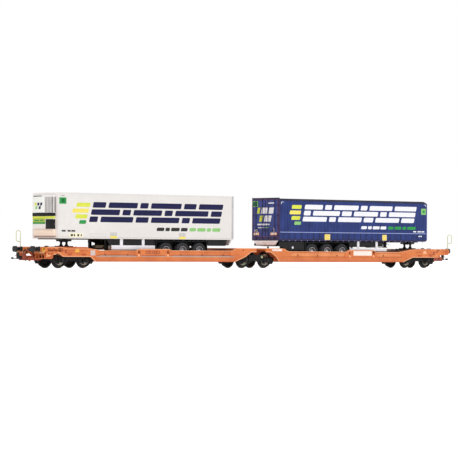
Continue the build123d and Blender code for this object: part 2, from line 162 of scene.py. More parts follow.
def tarpaulin(name, base, shade, rough=(0.4, 0.52)):
    """Coated curtain cloth: fine weave in both directions, cloudy tone, faint upright creases."""
    m, nt, bsdf = material(name)
    tc = nt.nodes.new("ShaderNodeTexCoord")
    cloud = add(nt, "ShaderNodeTexNoise", Scale=90.0, Detail=4.0, Roughness=0.6)
    nt.links.new(tc.outputs["Object"], cloud.inputs["Vector"])
    stretch = add(nt, "ShaderNodeMapping")
    stretch.inputs["Scale"].default_value = (520.0, 40.0, 40.0)
    nt.links.new(tc.outputs["Object"], stretch.inputs["Vector"])
    crease = add(nt, "ShaderNodeTexNoise", Scale=1.0, Detail=3.0, Roughness=0.5)
    nt.links.new(stretch.outputs["Vector"], crease.inputs["Vector"])
    both = add(nt, "ShaderNodeMath", operation="MULTIPLY_ADD")
    nt.links.new(crease.outputs["Fac"], both.inputs[0])
    both.inputs[1].default_value = 0.6
    nt.links.new(cloud.outputs["Fac"], both.inputs[2])
    nt.links.new(ramp(nt, both.outputs[0], [(0.55, shade), (0.85, base), (1.0, tuple(min(1.0, c * 1.1 + 0.003) for c in base))]), bsdf.inputs["Base Color"])
    waves = []
    for direction in ("X", "Z"):
        w = add(nt, "ShaderNodeTexWave", bands_direction=direction, Scale=1150.0, Distortion=0.4)
        nt.links.new(tc.outputs["Object"], w.inputs["Vector"])
        waves.append(w)
    weave = add(nt, "ShaderNodeMath", operation="MULTIPLY")
    nt.links.new(waves[0].outputs["Fac"], weave.inputs[0])
    nt.links.new(waves[1].outputs["Fac"], weave.inputs[1])
    b0 = add(nt, "ShaderNodeBump", Strength=0.10, Distance=0.00005)
    nt.links.new(weave.outputs[0], b0.inputs["Height"])
    b1 = add(nt, "ShaderNodeBump", Strength=0.35, Distance=0.00012)
    nt.links.new(crease.outputs["Fac"], b1.inputs["Height"])
    nt.links.new(b0.outputs["Normal"], b1.inputs["Normal"])
    nt.links.new(b1.outputs["Normal"], bsdf.inputs["Normal"])
    rr = add(nt, "ShaderNodeMapRange")
    nt.links.new(cloud.outputs["Fac"], rr.inputs["Value"])
    rr.inputs["From Min"].default_value, rr.inputs["From Max"].default_value = 0.3, 0.7
    rr.inputs["To Min"].default_value, rr.inputs["To Max"].default_value = rough
    nt.links.new(rr.outputs["Result"], bsdf.inputs["Roughness"])
    bsdf.inputs["Specular IOR Level"].default_value = 0.25
    return m


# ------------------------------------------------------------------ materials
def tones(r, g, b, k=0.9):
    return lin(r, g, b), lin(r * k, g * k, b * k)


M = {
    # wagon
    "orange": painted("wagon_orange", lin(214, 119, 60), lin(196, 99, 46), rough=(0.36, 0.5), low_darkening=(lin(160, 86, 52), 3.6, 8.0, 0.5)),
    # lighter orange as painted light: lit panel faces on the right frame, and some plates
    "orange_painted_light": painted("wagon_orange_painted_light", lin(226, 142, 86), lin(210, 122, 68), rough=(0.36, 0.5)),
    "mark": painted("mark_brown", *tones(160, 72, 40, 0.9), rough=(0.45, 0.6)),
    # dark brown as painted shade: sheets in the bay openings, thin shade lines under ledges, small dark fittings
    "bay": painted("bay_painted_shade", *tones(168, 80, 44, 0.86), rough=(0.45, 0.6)),
    "deep_orange": painted("wagon_orange_deep", *tones(196, 88, 38, 0.92), rough=(0.4, 0.54)),
    # pale orange as painted highlight on edges, top faces, raised bars and bolts
    "orange_highlight": painted("wagon_orange_painted_highlight", *tones(246, 178, 130, 0.96), rough=(0.34, 0.46)),
    # pale grey-pink as painted reflection on the sloped ledge and on raised bars
    "ledge": painted("sill_ledge_painted_reflection", *tones(182, 154, 138, 0.9), rough=(0.5, 0.65)),
    # dark brown as painted shadow in slots, holes, spots and on shaded plates
    "painted_shadow": painted("shadow_brown", *tones(128, 62, 30, 0.82), rough=(0.5, 0.7)),
    "hole": painted("deep_shadow", *tones(34, 18, 14, 0.8), rough=(0.7, 0.85)),
    "gold": painted("mark_yellow", *tones(240, 178, 66, 0.94)),
    "plate": painted("blank_plate", *tones(242, 230, 222, 0.97), rough=(0.4, 0.5)),
    "label": painted("worn_label", *tones(206, 188, 182, 0.93), rough=(0.45, 0.55)),
    "red": painted("coupler_red", *tones(176, 84, 58, 0.62), rough=(0.4, 0.55)),
    "wire": painted("rail_wire", *tones(206, 204, 158, 0.92), rough=(0.3, 0.42)),
    "black": painted("black_plastic", lin(17, 18, 20), lin(10, 11, 13), rough=(0.44, 0.62), bump=0.12, spec=0.28),
    "iron": painted("dark_iron", *tones(28, 28, 31, 0.72), rough=(0.4, 0.56), spec=0.32),
    "blackened": painted("blackened_wheel", *tones(15, 16, 18, 0.8), rough=(0.4, 0.55), spec=0.25),
    "nickel": painted("nickel_face", *tones(190, 184, 164, 0.84), rough=(0.3, 0.44), metal=0.3, scale=1500.0, bump=0.1),
    # trailers
    "white": painted("white_body", *tones(222, 218, 214, 0.985), rough=(0.3, 0.4), scale=300.0, coat=0.15),
    "front_white": painted("white_front", *tones(240, 234, 230, 0.98), rough=(0.34, 0.44), scale=300.0),
    # warm beige: painted shade and painted orange reflection on the cooler's lower box; the side marker lamps' own tone
    "beige": painted("beige_and_painted_shade", *tones(254, 234, 214, 0.97), rough=(0.4, 0.5), scale=300.0),
    "frame_grey": painted("light_grey_frame", *tones(186, 184, 184, 0.93), rough=(0.32, 0.44)),
    "louvre": painted("grille_grey", *tones(226, 222, 220, 0.95), rough=(0.36, 0.48)),
    "cool_white": painted("unit_white", *tones(240, 240, 234, 0.98), rough=(0.34, 0.44), scale=300.0),
    # tank tone lightened as painted light, as the tank sits in shade under the trailer
    "tank": painted("tank_grey_brown_painted_light", *tones(214, 198, 166, 0.9), rough=(0.34, 0.46)),
    "louvre_gap": painted("grille_gap", *tones(186, 182, 180, 0.93), rough=(0.5, 0.6)),
    "dark_grey": painted("dark_grey", *tones(86, 84, 88, 0.85), rough=(0.4, 0.55)),
    "print_navy": painted("print_navy", *tones(22, 24, 70, 0.9), rough=(0.5, 0.6), bump=0.02, spec=0.22),
    "print_black": painted("print_black", *tones(46, 44, 46, 0.85), rough=(0.5, 0.6), bump=0.02, spec=0.22),
    "lime": painted("print_lime", *tones(216, 222, 78, 0.95), rough=(0.5, 0.6), bump=0.02, spec=0.22),
    "green": painted("print_green", *tones(46, 150, 72, 0.9), rough=(0.5, 0.6), bump=0.02, spec=0.22),
    "olive": painted("print_olive", *tones(172, 188, 84, 0.94), rough=(0.5, 0.6), bump=0.02, spec=0.22),
    "amber": painted("print_amber", *tones(242, 220, 124, 0.96), rough=(0.5, 0.6), bump=0.02, spec=0.22),
    "deep_green": painted("print_deep_green", *tones(24, 104, 52, 0.9), rough=(0.5, 0.6), bump=0.02, spec=0.22),
    "mint": painted("print_mint", *tones(140, 196, 118, 0.95), rough=(0.5, 0.6), bump=0.02, spec=0.22),
    "yellow": painted("print_yellow", *tones(240, 222, 104, 0.96), rough=(0.5, 0.6), bump=0.02, spec=0.22),
    "ivory": painted("print_ivory", *tones(244, 238, 200, 0.98), rough=(0.5, 0.6), bump=0.02, spec=0.22),
    "silver_print": painted("print_grey", *tones(186, 184, 182, 0.96), rough=(0.5, 0.6), bump=0.02, spec=0.22),
    "print_white": painted("print_white", *tones(236, 236, 242, 0.98), rough=(0.5, 0.6), bump=0.02, spec=0.22),
    "pale_blue": painted("print_pale_blue", *tones(152, 164, 208, 0.96), rough=(0.5, 0.6), bump=0.02, spec=0.22),
    "curtain": tarpaulin("blue_curtain", lin(36, 54, 116), lin(26, 40, 94)),
    "roof_blue": tarpaulin("blue_roof", lin(34, 44, 92), lin(26, 33, 74)),
    "rail_blue": painted("dark_blue_rail", *tones(24, 27, 52, 0.85), rough=(0.34, 0.46)),
    "strap": painted("curtain_strap", *tones(20, 26, 66, 0.8), rough=(0.5, 0.62)),
    "door_blue": painted("blue_doors", *tones(46, 62, 136, 0.9), rough=(0.32, 0.44)),
    "navy": painted("navy_frame", *tones(44, 34, 84, 0.85), rough=(0.34, 0.46)),
    "violet": painted("violet_trim", *tones(112, 56, 112, 0.9), rough=(0.34, 0.46)),
    "lens": painted("lamp_lens", *tones(255, 206, 150, 0.95), rough=(0.12, 0.2), coat=0.6, spec=0.6),
    "lens_red": painted("lamp_red", *tones(190, 40, 34, 0.85), rough=(0.12, 0.2), coat=0.6, spec=0.6),
    "guard": painted("guard_panel", *tones(22, 22, 25, 0.8), rough=(0.44, 0.58), spec=0.3),
    "bumper": painted("bumper_pale", *tones(250, 251, 255, 0.98), rough=(0.36, 0.48)),
    "tyre": painted("tyre_rubber", lin(40, 41, 45), lin(28, 29, 32), rough=(0.6, 0.76), bump=0.2, spec=0.35),
    "rim": painted("wheel_rim", *tones(120, 116, 122, 0.82), rough=(0.3, 0.42), metal=0.3),
    "rim_edge": painted("rim_edge", *tones(196, 192, 196, 0.92), rough=(0.28, 0.4), metal=0.1),
    "hub": painted("hub_cap", *tones(240, 236, 234, 0.95), rough=(0.28, 0.4), metal=0.1),
}


# ------------------------------------------------------------------ shape helpers
class Piece:
    """Collects closed solids, in millimetres above the rail top, into one mesh object."""

    def __init__(self, name):
        self.name, self.v, self.f, self.m, self.keys = name, [], [], [], []

    def raw(self, verts, faces, k):
        if k not in self.keys:
            self.keys.append(k)
        i, o = self.keys.index(k), len(self.v)
        self.v += verts
        self.f += [[a + o for a in f] for f in faces]
        self.m += [i] * len(faces)

    def solid(self, verts, faces, k, bev=0.0, seg=1):
        t = bmesh.new()
        vs = [t.verts.new(p) for p in verts]
        for f in faces:
            t.faces.new([vs[a] for a in f])
        bmesh.ops.recalc_face_normals(t, faces=t.faces)
        if bev:
            edges = [e for e in t.edges if len(e.link_faces) == 2 and e.calc_face_angle(0) > 0.45]
            bmesh.ops.bevel(t, geom=edges, offset=bev, segments=seg, profile=0.5, affect="EDGES", clamp_overlap=True)
        t.verts.index_update()
        self.raw([tuple(v.co) for v in t.verts], [[v.index for v in f.verts] for f in t.faces], k)
        t.free()

    def prism(self, pts, axis, a0, a1, k, bev=0.08, seg=1):
        """Outline pushed along an axis: points are (x, z) for y, (y, z) for x and (x, y) for z."""
        put = {"y": lambda p, a: (p[0], a, p[1]), "x": lambda p, a: (a, p[0], p[1]), "z": lambda p, a: (p[0], p[1], a)}[axis]
        n = len(pts)
        verts = [put(p, a0) for p in pts] + [put(p, a1) for p in pts]
        faces = [list(range(n)), list(range(2 * n - 1, n - 1, -1))] + [[i, (i + 1) % n, n + (i + 1) % n, n + i] for i in range(n)]
        self.solid(verts, faces, k, bev, seg)

    def box(self, x0, x1, y0, y1, z0, z1, k, bev=0.08, seg=1):
        self.prism([(x0, z0), (x1, z0), (x1, z1), (x0, z1)], "y", y0, y1, k, bev, seg)

    def rod(self, axis, c, r, a0, a1, k, n=20, bev=0.0, r2=None):
        """Round bar; c is the centre in the other two axes, as for prism."""
        put = {"y": lambda p, a: (p[0], a, p[1]), "x": lambda p, a: (a, p[0], p[1]), "z": lambda p, a: (p[0], p[1], a)}[axis]
        verts = []
        for a, q in ((a0, r), (a1, r if r2 is None else r2)):
            verts += [put((c[0] + q * math.cos(2 * math.pi * i / n), c[1] + q * math.sin(2 * math.pi * i / n)), a) for i in range(n)]
        faces = [list(range(n)), list(range(2 * n - 1, n - 1, -1))] + [[i, (i + 1) % n, n + (i + 1) % n, n + i] for i in range(n)]
        if bev:
            self.solid(verts, faces, k, bev)
        else:
            self.raw(verts, faces, k)

    def lathe(self, axis, c, pts, keys, n=48, ring=False, tooth=None):
        """Turned body, points (along, radius). ring joins the last point to the first; otherwise both ends close on the axis.
        keys is one material or one for each step between points. tooth(i, j) gives a change of radius."""
        put = {"y": lambda p, a: (p[0], a, p[1]), "x": lambda p, a: (a, p[0], p[1]), "z": lambda p, a: (p[0], p[1], a)}[axis]
        count = len(pts) if ring else len(pts) - 1
        if isinstance(keys, str):
            keys = [keys] * count
        base, verts = [], []
        for j, (a, r) in enumerate(pts):
            base.append(len(verts))
            if r < 1e-6:
                verts.append(put(c, a))
            else:
                for i in range(n):
                    q = r + (tooth(i, j) if tooth else 0.0)
                    verts.append(put((c[0] + q * math.cos(2 * math.pi * i / n), c[1] + q * math.sin(2 * math.pi * i / n)), a))
        groups = {}
        for j in range(count):
            j2 = (j + 1) % len(pts)
            fs = groups.setdefault(keys[j], [])
            p0, p1 = pts[j][1] < 1e-6, pts[j2][1] < 1e-6
            for i in range(n):
                i2 = (i + 1) % n
                if p0 and p1:
                    continue
                if p0:
                    fs.append([base[j], base[j2] + i, base[j2] + i2])
                elif p1:
                    fs.append([base[j] + i, base[j] + i2, base[j2]])
                else:
                    fs.append([base[j] + i, base[j] + i2, base[j2] + i2, base[j2] + i])
        o = len(self.v)
        self.v += verts
        for k, fs in groups.items():
            if k not in self.keys:
                self.keys.append(k)
            self.f += [[a + o for a in f] for f in fs]
            self.m += [self.keys.index(k)] * len(fs)

    def tube(self, pts, r, k, n=8, rounds=3, bend=0.0):
        """Bent round wire through points; bend is the corner radius."""
        path = [Vector(p) for p in pts]
        if bend:
            out = [path[0]]
            for a, b, c in zip(path, path[1:], path[2:]):
                d0, d1 = (a - b).normalized(), (c - b).normalized()
                cut = min(bend, (a - b).length * 0.45, (c - b).length * 0.45)
                s, e = b + d0 * cut, b + d1 * cut
                for i in range(rounds + 1):
                    t = i / rounds
                    out.append(s * (1 - t) ** 2 + b * 2 * t * (1 - t) + e * t * t)
            path = out + [path[-1]]
        verts, side = [], None
        for i, p in enumerate(path):
            t = (path[min(i + 1, len(path) - 1)] - path[max(i - 1, 0)]).normalized()
            if side is None:
                side = t.orthogonal().normalized()
            side = (side - t * side.dot(t)).normalized()
            up = t.cross(side)
            verts += [tuple(p + side * r * math.cos(2 * math.pi * q / n) + up * r * math.sin(2 * math.pi * q / n)) for q in range(n)]
        faces = [list(range(n)), list(range(len(verts) - 1, len(verts) - n - 1, -1))]
        for i in range(len(path) - 1):
            faces += [[i * n + q, i * n + (q + 1) % n, (i + 1) * n + (q + 1) % n, (i + 1) * n + q] for q in range(n)]
        self.raw(verts, faces, k)

    def decal(self, sy, surface, outline, k, up=0.04, grid=None, rows=1, down=0.05):
        """Thin print on a side wall: a convex outline (x, z), cut in upright columns on the wall's own grid."""
        x0, x1 = min(q[0] for q in outline), max(q[0] for q in outline)
        cols = sorted({round(q[0], 4) for q in outline if x0 + 0.03 < q[0] < x1 - 0.03} | {x0 + 0.01, x1 - 0.01})
        if grid:
            g0, step = grid
            i = math.ceil((x0 + 0.05 - g0) / step)
            while g0 + i * step < x1 - 0.05:
                cols.append(g0 + i * step)
                i += 1
            cols.sort()
        keep = [cols[0]]
        for x in cols[1:]:
            if x - keep[-1] > 0.012:
                keep.append(x)
        spans = []
        n = len(outline)
        for x in keep:
            cut = []
            for (ax, az), (bx, bz) in zip(outline, outline[1:] + outline[:1]):
                if abs(bx - ax) > 1e-9 and (ax - x) * (bx - x) <= 1e-12:
                    cut.append(az + (bz - az) * (x - ax) / (bx - ax))
            spans.append((min(cut), max(max(cut), min(cut) + 0.004)))
        verts = []
        for layer in (up, -down):
            for j in range(rows + 1):
                for x, (a, b) in zip(keep, spans):
                    z = a + (b - a) * j / rows
                    verts.append((x, sy * (surface(x, z) + layer), z))
        w, h = len(keep), rows + 1
        faces = []
        for j in range(rows):
            for i in range(w - 1):
                a = j * w + i
                faces.append([a, a + 1, a + 1 + w, a + w])
                faces.append([w * h + a, w * h + a + w, w * h + a + 1 + w, w * h + a + 1])
        rim = [i for i in range(w)] + [j * w + w - 1 for j in range(1, h)] + [(h - 1) * w + i for i in range(w - 2, -1, -1)] + [j * w for j in range(h - 2, 0, -1)]
        for a, b in zip(rim, rim[1:] + rim[:1]):
            faces.append([a, w * h + a, w * h + b, b])
        self.raw(verts, faces, k)

    def done(self, body, replaces=(), crease=0.56):
        me = bpy.data.meshes.new(self.name)
        me.from_pydata([(x * MM, y * MM, (z + FLANGE) * MM) for x, y, z in self.v], [], self.f)
        for k in self.keys:
            me.materials.append(M[k])
        me.polygons.foreach_set("material_index", self.m)
        b = bmesh.new()
        b.from_mesh(me)
        bmesh.ops.recalc_face_normals(b, faces=b.faces)
        for f in b.faces:
            f.smooth = True
        for e in b.edges:
            e.smooth = not (len(e.link_faces) == 2 and e.calc_face_angle(0) > crease)
        b.to_mesh(me)
        b.free()
        o = bpy.data.objects.new(self.name, me)
        bpy.context.scene.collection.objects.link(o)
        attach(o, body)
        if replaces:
            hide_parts(*replaces)
        return o


def dress(name, key, width=0.12):
    """A carried node: its finish, and rounded edges."""
    o = nodes[name]
    o.data.materials.clear()
    o.data.materials.append(M[key])
    if width:
        w = o.modifiers.new("weld", "WELD")
        w.merge_threshold = 1e-7
        d = o.modifiers.new("flat", "DECIMATE")
        d.decimate_type = "DISSOLVE"
        d.angle_limit = 0.02
        b = o.modifiers.new("edge", "BEVEL")
        b.width = width * MM
        b.segments = 2
        b.limit_method = "ANGLE"
        b.angle_limit = 0.55
        b.use_clamp_overlap = True


# ------------------------------------------------------------------ wagon: carried nodes
BX, WB, AZ = 163.2, 20.7, 5.3
for side in ("left", "right"):
    for n in ("side_sills", "end_deck", "middle_deck", "end_beam", "pocket_floor"):
        dress(side + "_" + n, "orange")
    dress(side + "_trestle", "black", 0.1)
    dress(side + "_handrail", "wire", 0)
    dress(side + "_coupler_pocket", "red", 0.15)
    dress(side + "_coupler_hook", "iron", 0.1)
for b in ("left", "middle", "right"):
    dress(b + "_bogie_frame", "black", 0.15)


# ------------------------------------------------------------------ wagon: sills
panels = {
    "left": [(29.0, 81.5, 7.4, 11.0), (115.0, 146.0, 7.4, 10.9)],
    "right": [(29.0, 82.0, 7.4, 10.8), (115.0, 140.0, 7.4, 10.7)],
}
gussets = {"left": [84.9, 110.6], "right": [85.9, 110.2]}

for side, sx in (("left", -1), ("right", 1)):
    p = Piece(side + "_sill_fittings")
    for sy in (-1, 1):
        def X(s):
            return sx * s
        for s0, s1, z0, z1 in panels[side]:
            if side == "left":
                # sloped ledge along the foot of the panel, pale grey-pink as painted reflection, and the shadow groove
                # above it
                p.prism([(sy * 17.48, z0 - 0.36), (sy * 17.48, z0 - 0.02), (sy * 16.93, z0 + 0.74), (sy * 16.9, z0 + 0.02), (sy * 17.3, z0 - 0.36)], "x", X(s0 + 0.1), X(s1 - 0.1), "ledge", 0.0)
                p.box(X(s0 + 0.1), X(s1 - 0.1), sy * 16.9, sy * 16.98, z0 + 0.76, z0 + 1.3, "bay", 0.0)
            else:
                # right side: a thin dark line at the panel's foot as painted shade, and the panel face in a lighter
                # orange as painted light
                p.box(X(s0 + 0.1), X(s1 - 0.1), sy * 16.9, sy * 17.02, z0 + 0.02, z0 + 0.3, "bay", 0.0)
                p.box(X(s0 + 0.1), X(s1 - 0.1), sy * 16.88, sy * 16.96, z0 + 0.5, z1 - 0.3, "orange_painted_light", 0.0)
            p.box(X(s0 + 0.1), X(s1 - 0.1), sy * 16.9, sy * 16.98, z1 - 0.22, z1 - 0.02, "deep_orange", 0.0)
            # lashing eyes over the ledge
            s = s0 + 6.0
            while s < s1 - 2.0:
                p.box(X(s), X(s + 0.9), sy * 16.9, sy * 17.14, z0 + 1.3, z0 + 1.9, "deep_orange", 0.06)
                p.tube([(X(s + 0.1), sy * 17.1, z0 + 1.6), (X(s + 0.1), sy * 17.2, z0 + 0.75), (X(s + 0.8), sy * 17.2, z0 + 0.75), (X(s + 0.8), sy * 17.1, z0 + 1.6)], 0.1, "iron", 6, 2, 0.25)
                s += 19.4
            # upright welds of the panel
            s = s0 + 13.0
            while s < s1 - 4.0:
                p.box(X(s), X(s + 0.22), sy * 16.9, sy * 17.03, z0 + 1.25, z1 - 0.25, "deep_orange", 0.03)
                s += 13.0
        # the ledge runs on under the raised parts as a flat strip, pale as painted reflection, with its painted shadow
        # line above
        for s0, s1 in ((25.4, 29.2), (81.4, 84.8), (87.2, 110.4), (112.9, 115.2), (145.9, 148.4)) if side == "left" else ((20.0, 29.2), (81.9, 85.7), (88.2, 110.0), (112.5, 115.2), (139.9, 141.5)):
            if side == "left":
                p.box(X(s0), X(s1), sy * 17.3, sy * 17.46, 7.15, 7.75, "ledge", 0.0)
                p.box(X(s0), X(s1), sy * 17.3, sy * 17.42, 7.8, 8.25, "bay", 0.0)
            else:
                p.box(X(s0), X(s1), sy * 17.3, sy * 17.42, 7.35, 7.62, "bay", 0.0)
        # gussets: a dark oval as painted shadow, and the sloped foot in pale orange as painted highlight
        for s in gussets[side]:
            c = X(s + 1.0)
            ring = [(c + 0.72 * math.cos(a * math.pi / 8), 10.35 + 0.95 * math.sin(a * math.pi / 8)) for a in range(16)]
            p.prism(ring, "y", sy * 16.9, sy * 16.99, "painted_shadow", 0.0)
            p.prism([(sy * 17.39, 7.42), (sy * 16.9, 9.15), (sy * 16.9, 7.42)], "x", X(s + 0.05), X(s + 1.95), "orange_highlight", 0.0)
            for e in (-0.15, 2.05):
                p.prism([(sy * 17.55, 7.6), (sy * 17.3, 11.4), (sy * 16.95, 11.4), (sy * 16.95, 7.42), (sy * 17.4, 7.42)], "x", X(s + e), X(s + e + 0.28), "orange", 0.05)
        # flange strips along the lower and upper edges, pale orange as painted highlight
        lower = [[(181.0, 9.9), (176.4, 7.1), (153.2, 7.1), (149.0, 3.8)], [(24.9, 3.8), (15.2, 7.3), (9.5, 10.8), (4.6, 10.8)]] if side == "left" else \
            [[(177.5, 9.2), (175.0, 7.3), (152.0, 7.3), (142.0, 3.8)], [(17.6, 3.8), (13.9, 7.9), (9.0, 10.8), (4.6, 10.8)]]
        upper = [[(4.6, 13.6), (23.6, 13.6), (27.3, 11.7), (82.5, 11.6), (85.0, 12.6), (111.5, 12.6), (114.0, 11.4), (144.5, 11.4), (149.5, 12.3), (156.0, 12.6), (173.6, 12.65), (176.8, 13.4), (189.8, 13.4)]] if side == "left" else \
            [[(4.6, 13.6), (20.5, 13.6), (26.4, 11.5), (83.0, 11.3), (86.0, 12.7), (111.0, 12.7), (113.6, 11.2), (135.5, 11.2), (140.3, 11.6), (145.1, 12.3), (149.9, 12.9), (154.7, 13.4), (189.8, 13.4)]]
        for run in lower:
            for (a, az), (b, bz) in zip(run, run[1:]):
                p.prism([(X(a), az), (X(b), bz), (X(b), bz + 0.5), (X(a), az + 0.5)], "y", sy * 17.36, sy * 17.47, "orange_highlight", 0.0)
        for run in upper:
            for (a, az), (b, bz) in zip(run, run[1:]):
                p.prism([(X(a), az - 0.3), (X(b), bz - 0.3), (X(b), bz), (X(a), az)], "y", sy * 17.36, sy * 17.46, "orange_highlight", 0.0)
        # hanging bracket under the sill, its lower edge rising towards the bogie; its pale plates are painted
        # highlight, its dark spots painted shadow
        if side == "left":
            p.prism([(X(190.4), 9.98), (X(190.4), 6.5), (X(189.4), 6.6), (X(187.6), 7.3), (X(185.2), 8.2), (X(182.0), 8.8), (X(180.0), 9.4), (X(180.4), 9.98)], "y", sy * 16.5, sy * 17.3, "orange", 0.08)
            for a, b, c, e in ((187.0, 189.4, 7.35, 8.1), (182.6, 184.4, 8.5, 9.1), (189.7, 190.3, 6.8, 9.2)):
                p.box(X(a), X(b), sy * 17.25, sy * 17.4, c, e, "orange_highlight", 0.06)
            for a, b, c, e in ((185.0, 186.6, 8.9, 9.5), (181.4, 183.2, 9.6, 10.1), (187.6, 189.0, 8.7, 9.3)):
                p.box(X(a), X(b), sy * 17.25, sy * 17.36, c, e, "painted_shadow", 0.05)
        else:
            p.prism([(X(181.4), 9.3), (X(181.4), 7.6), (X(180.0), 7.1), (X(176.6), 7.1), (X(175.0), 7.4), (X(177.6), 9.3)], "y", sy * 16.5, sy * 17.3, "orange", 0.08)
            for a, b, c in ((177.2, 178.8, 7.5), (179.4, 180.9, 7.5)):
                p.box(X(a), X(b), sy * 17.25, sy * 17.36, c, c + 0.9, "bay" if a > 179 else "orange_painted_light", 0.06)
        b0, b1 = (25.2, 148.6) if side == "left" else (18.0, 141.6)
        # darker strip along the bottom edge of the sill as painted shade
        p.box(X(b0), X(b1), sy * 17.36, sy * 17.46, 3.82, 4.25, "deep_orange", 0.0)
        # raised plate between the gussets: plain dashes or a blank board, and bolts in its corners; the board's frame
        # and the bolts are pale orange as painted highlight
        if side == "left":
            for row in (9.75, 11.0):
                for i in range(7):
                    a = 93.4 + i * 1.95
                    p.box(X(a), X(a + (1.6 if i % 3 else 1.0)), sy * 17.39, sy * 17.43, row - 0.42, row + 0.42, "mark", 0.0)
        else:
            p.box(X(90.6), X(109.0), sy * 17.35, sy * 17.44, 8.7, 11.9, "plate", 0.03)
            for a, b, c, d in ((90.3, 109.3, 11.9, 12.15), (90.3, 109.3, 8.45, 8.7), (90.3, 90.6, 8.7, 11.9), (109.0, 109.3, 8.7, 11.9)):
                p.box(X(a), X(b), sy * 17.35, sy * 17.5, c, d, "orange_highlight", 0.04)
        for a in (88.2, 109.9):
            for z in (8.3, 11.9):
                p.rod("y", (X(a), z), 0.24, sy * 17.35, sy * 17.55, "orange_highlight", 6)
        # top lip along the pocket, pale orange as painted highlight
        for s0, s1, z in ((28.5, 81.8, 11.62 if side == "left" else 11.38), (115.0, 135.4, 11.4 if side == "left" else 11.2)):
            p.box(X(s0), X(s1), sy * 16.35, sy * 17.25, z - 0.05, z + 0.09, "orange_highlight", 0.04)
        # bolts along the deck edge over the end bogie and at the middle
        for s in (150.5, 154.5, 158.5, 162.5, 166.5, 170.5):
            p.rod("y", (X(s), 8.2), 0.2, sy * 17.35, sy * 17.5, "orange", 6)
        for s in (8.0, 11.6, 15.2, 18.8):
            p.rod("y", (X(s), 12.6), 0.2, sy * 17.35, sy * 17.5, "orange", 6)
        # blank label, yellow mark and small fittings over the end bogie; the dark slots among them are painted shadow,
        # and on the right frame the mark is pale orange as painted highlight
        if side == "left":
            p.box(X(149.6), X(153.6), sy * 17.3, sy * 17.45, 8.0, 11.6, "label", 0.03)
        p.prism([(X(162.8), 10.2), (X(166.8), 10.0), (X(166.2), 12.2), (X(163.4), 12.4)], "y", sy * 17.3, sy * 17.46, "gold" if side == "left" else "orange_highlight", 0.03)
        for a, z in ((155.6, 10.9), (158.8, 11.2), (168.6, 9.6), (171.6, 9.5), (174.6, 11.0), (178.6, 12.3), (183.0, 12.4)):
            p.box(X(a), X(a + 2.4), sy * 17.3, sy * 17.46, z, z + 0.32, "mark", 0.04)
        for a, b in ((157.0, 161.2), (169.4, 172.6)):
            p.box(X(a), X(b), sy * 17.3, sy * 17.44, 8.0, 9.3, "deep_orange", 0.06)
            p.box(X(a + 0.4), X(b - 0.4), sy * 17.4, sy * 17.47, 8.3, 8.55, "painted_shadow", 0.0)
        p.box(X(173.6), X(175.2), sy * 17.3, sy * 17.43, 9.4, 11.8, "mark", 0.05)
        p.box(X(176.6), X(178.6), sy * 17.3, sy * 17.44, 10.7, 12.3, "bay", 0.06)
        p.box(X(186.4), X(189.4), sy * 17.3, sy * 17.46, 10.9 if side == "right" or sy > 0 else 12.2, 12.9, "deep_orange", 0.06)
        p.rod("y", (X(17.2), 12.0), 0.45, sy * 17.3, sy * 17.42, "hole", 12)
        if side == "right":
            p.box(X(10.5), X(19.8), sy * 17.35, sy * 17.44, 11.6, 13.1, "plate", 0.03)
            p.box(X(11.2), X(16.4), sy * 17.4, sy * 17.46, 12.2, 12.5, "ledge", 0.0)
    p.done(side + "_frame")


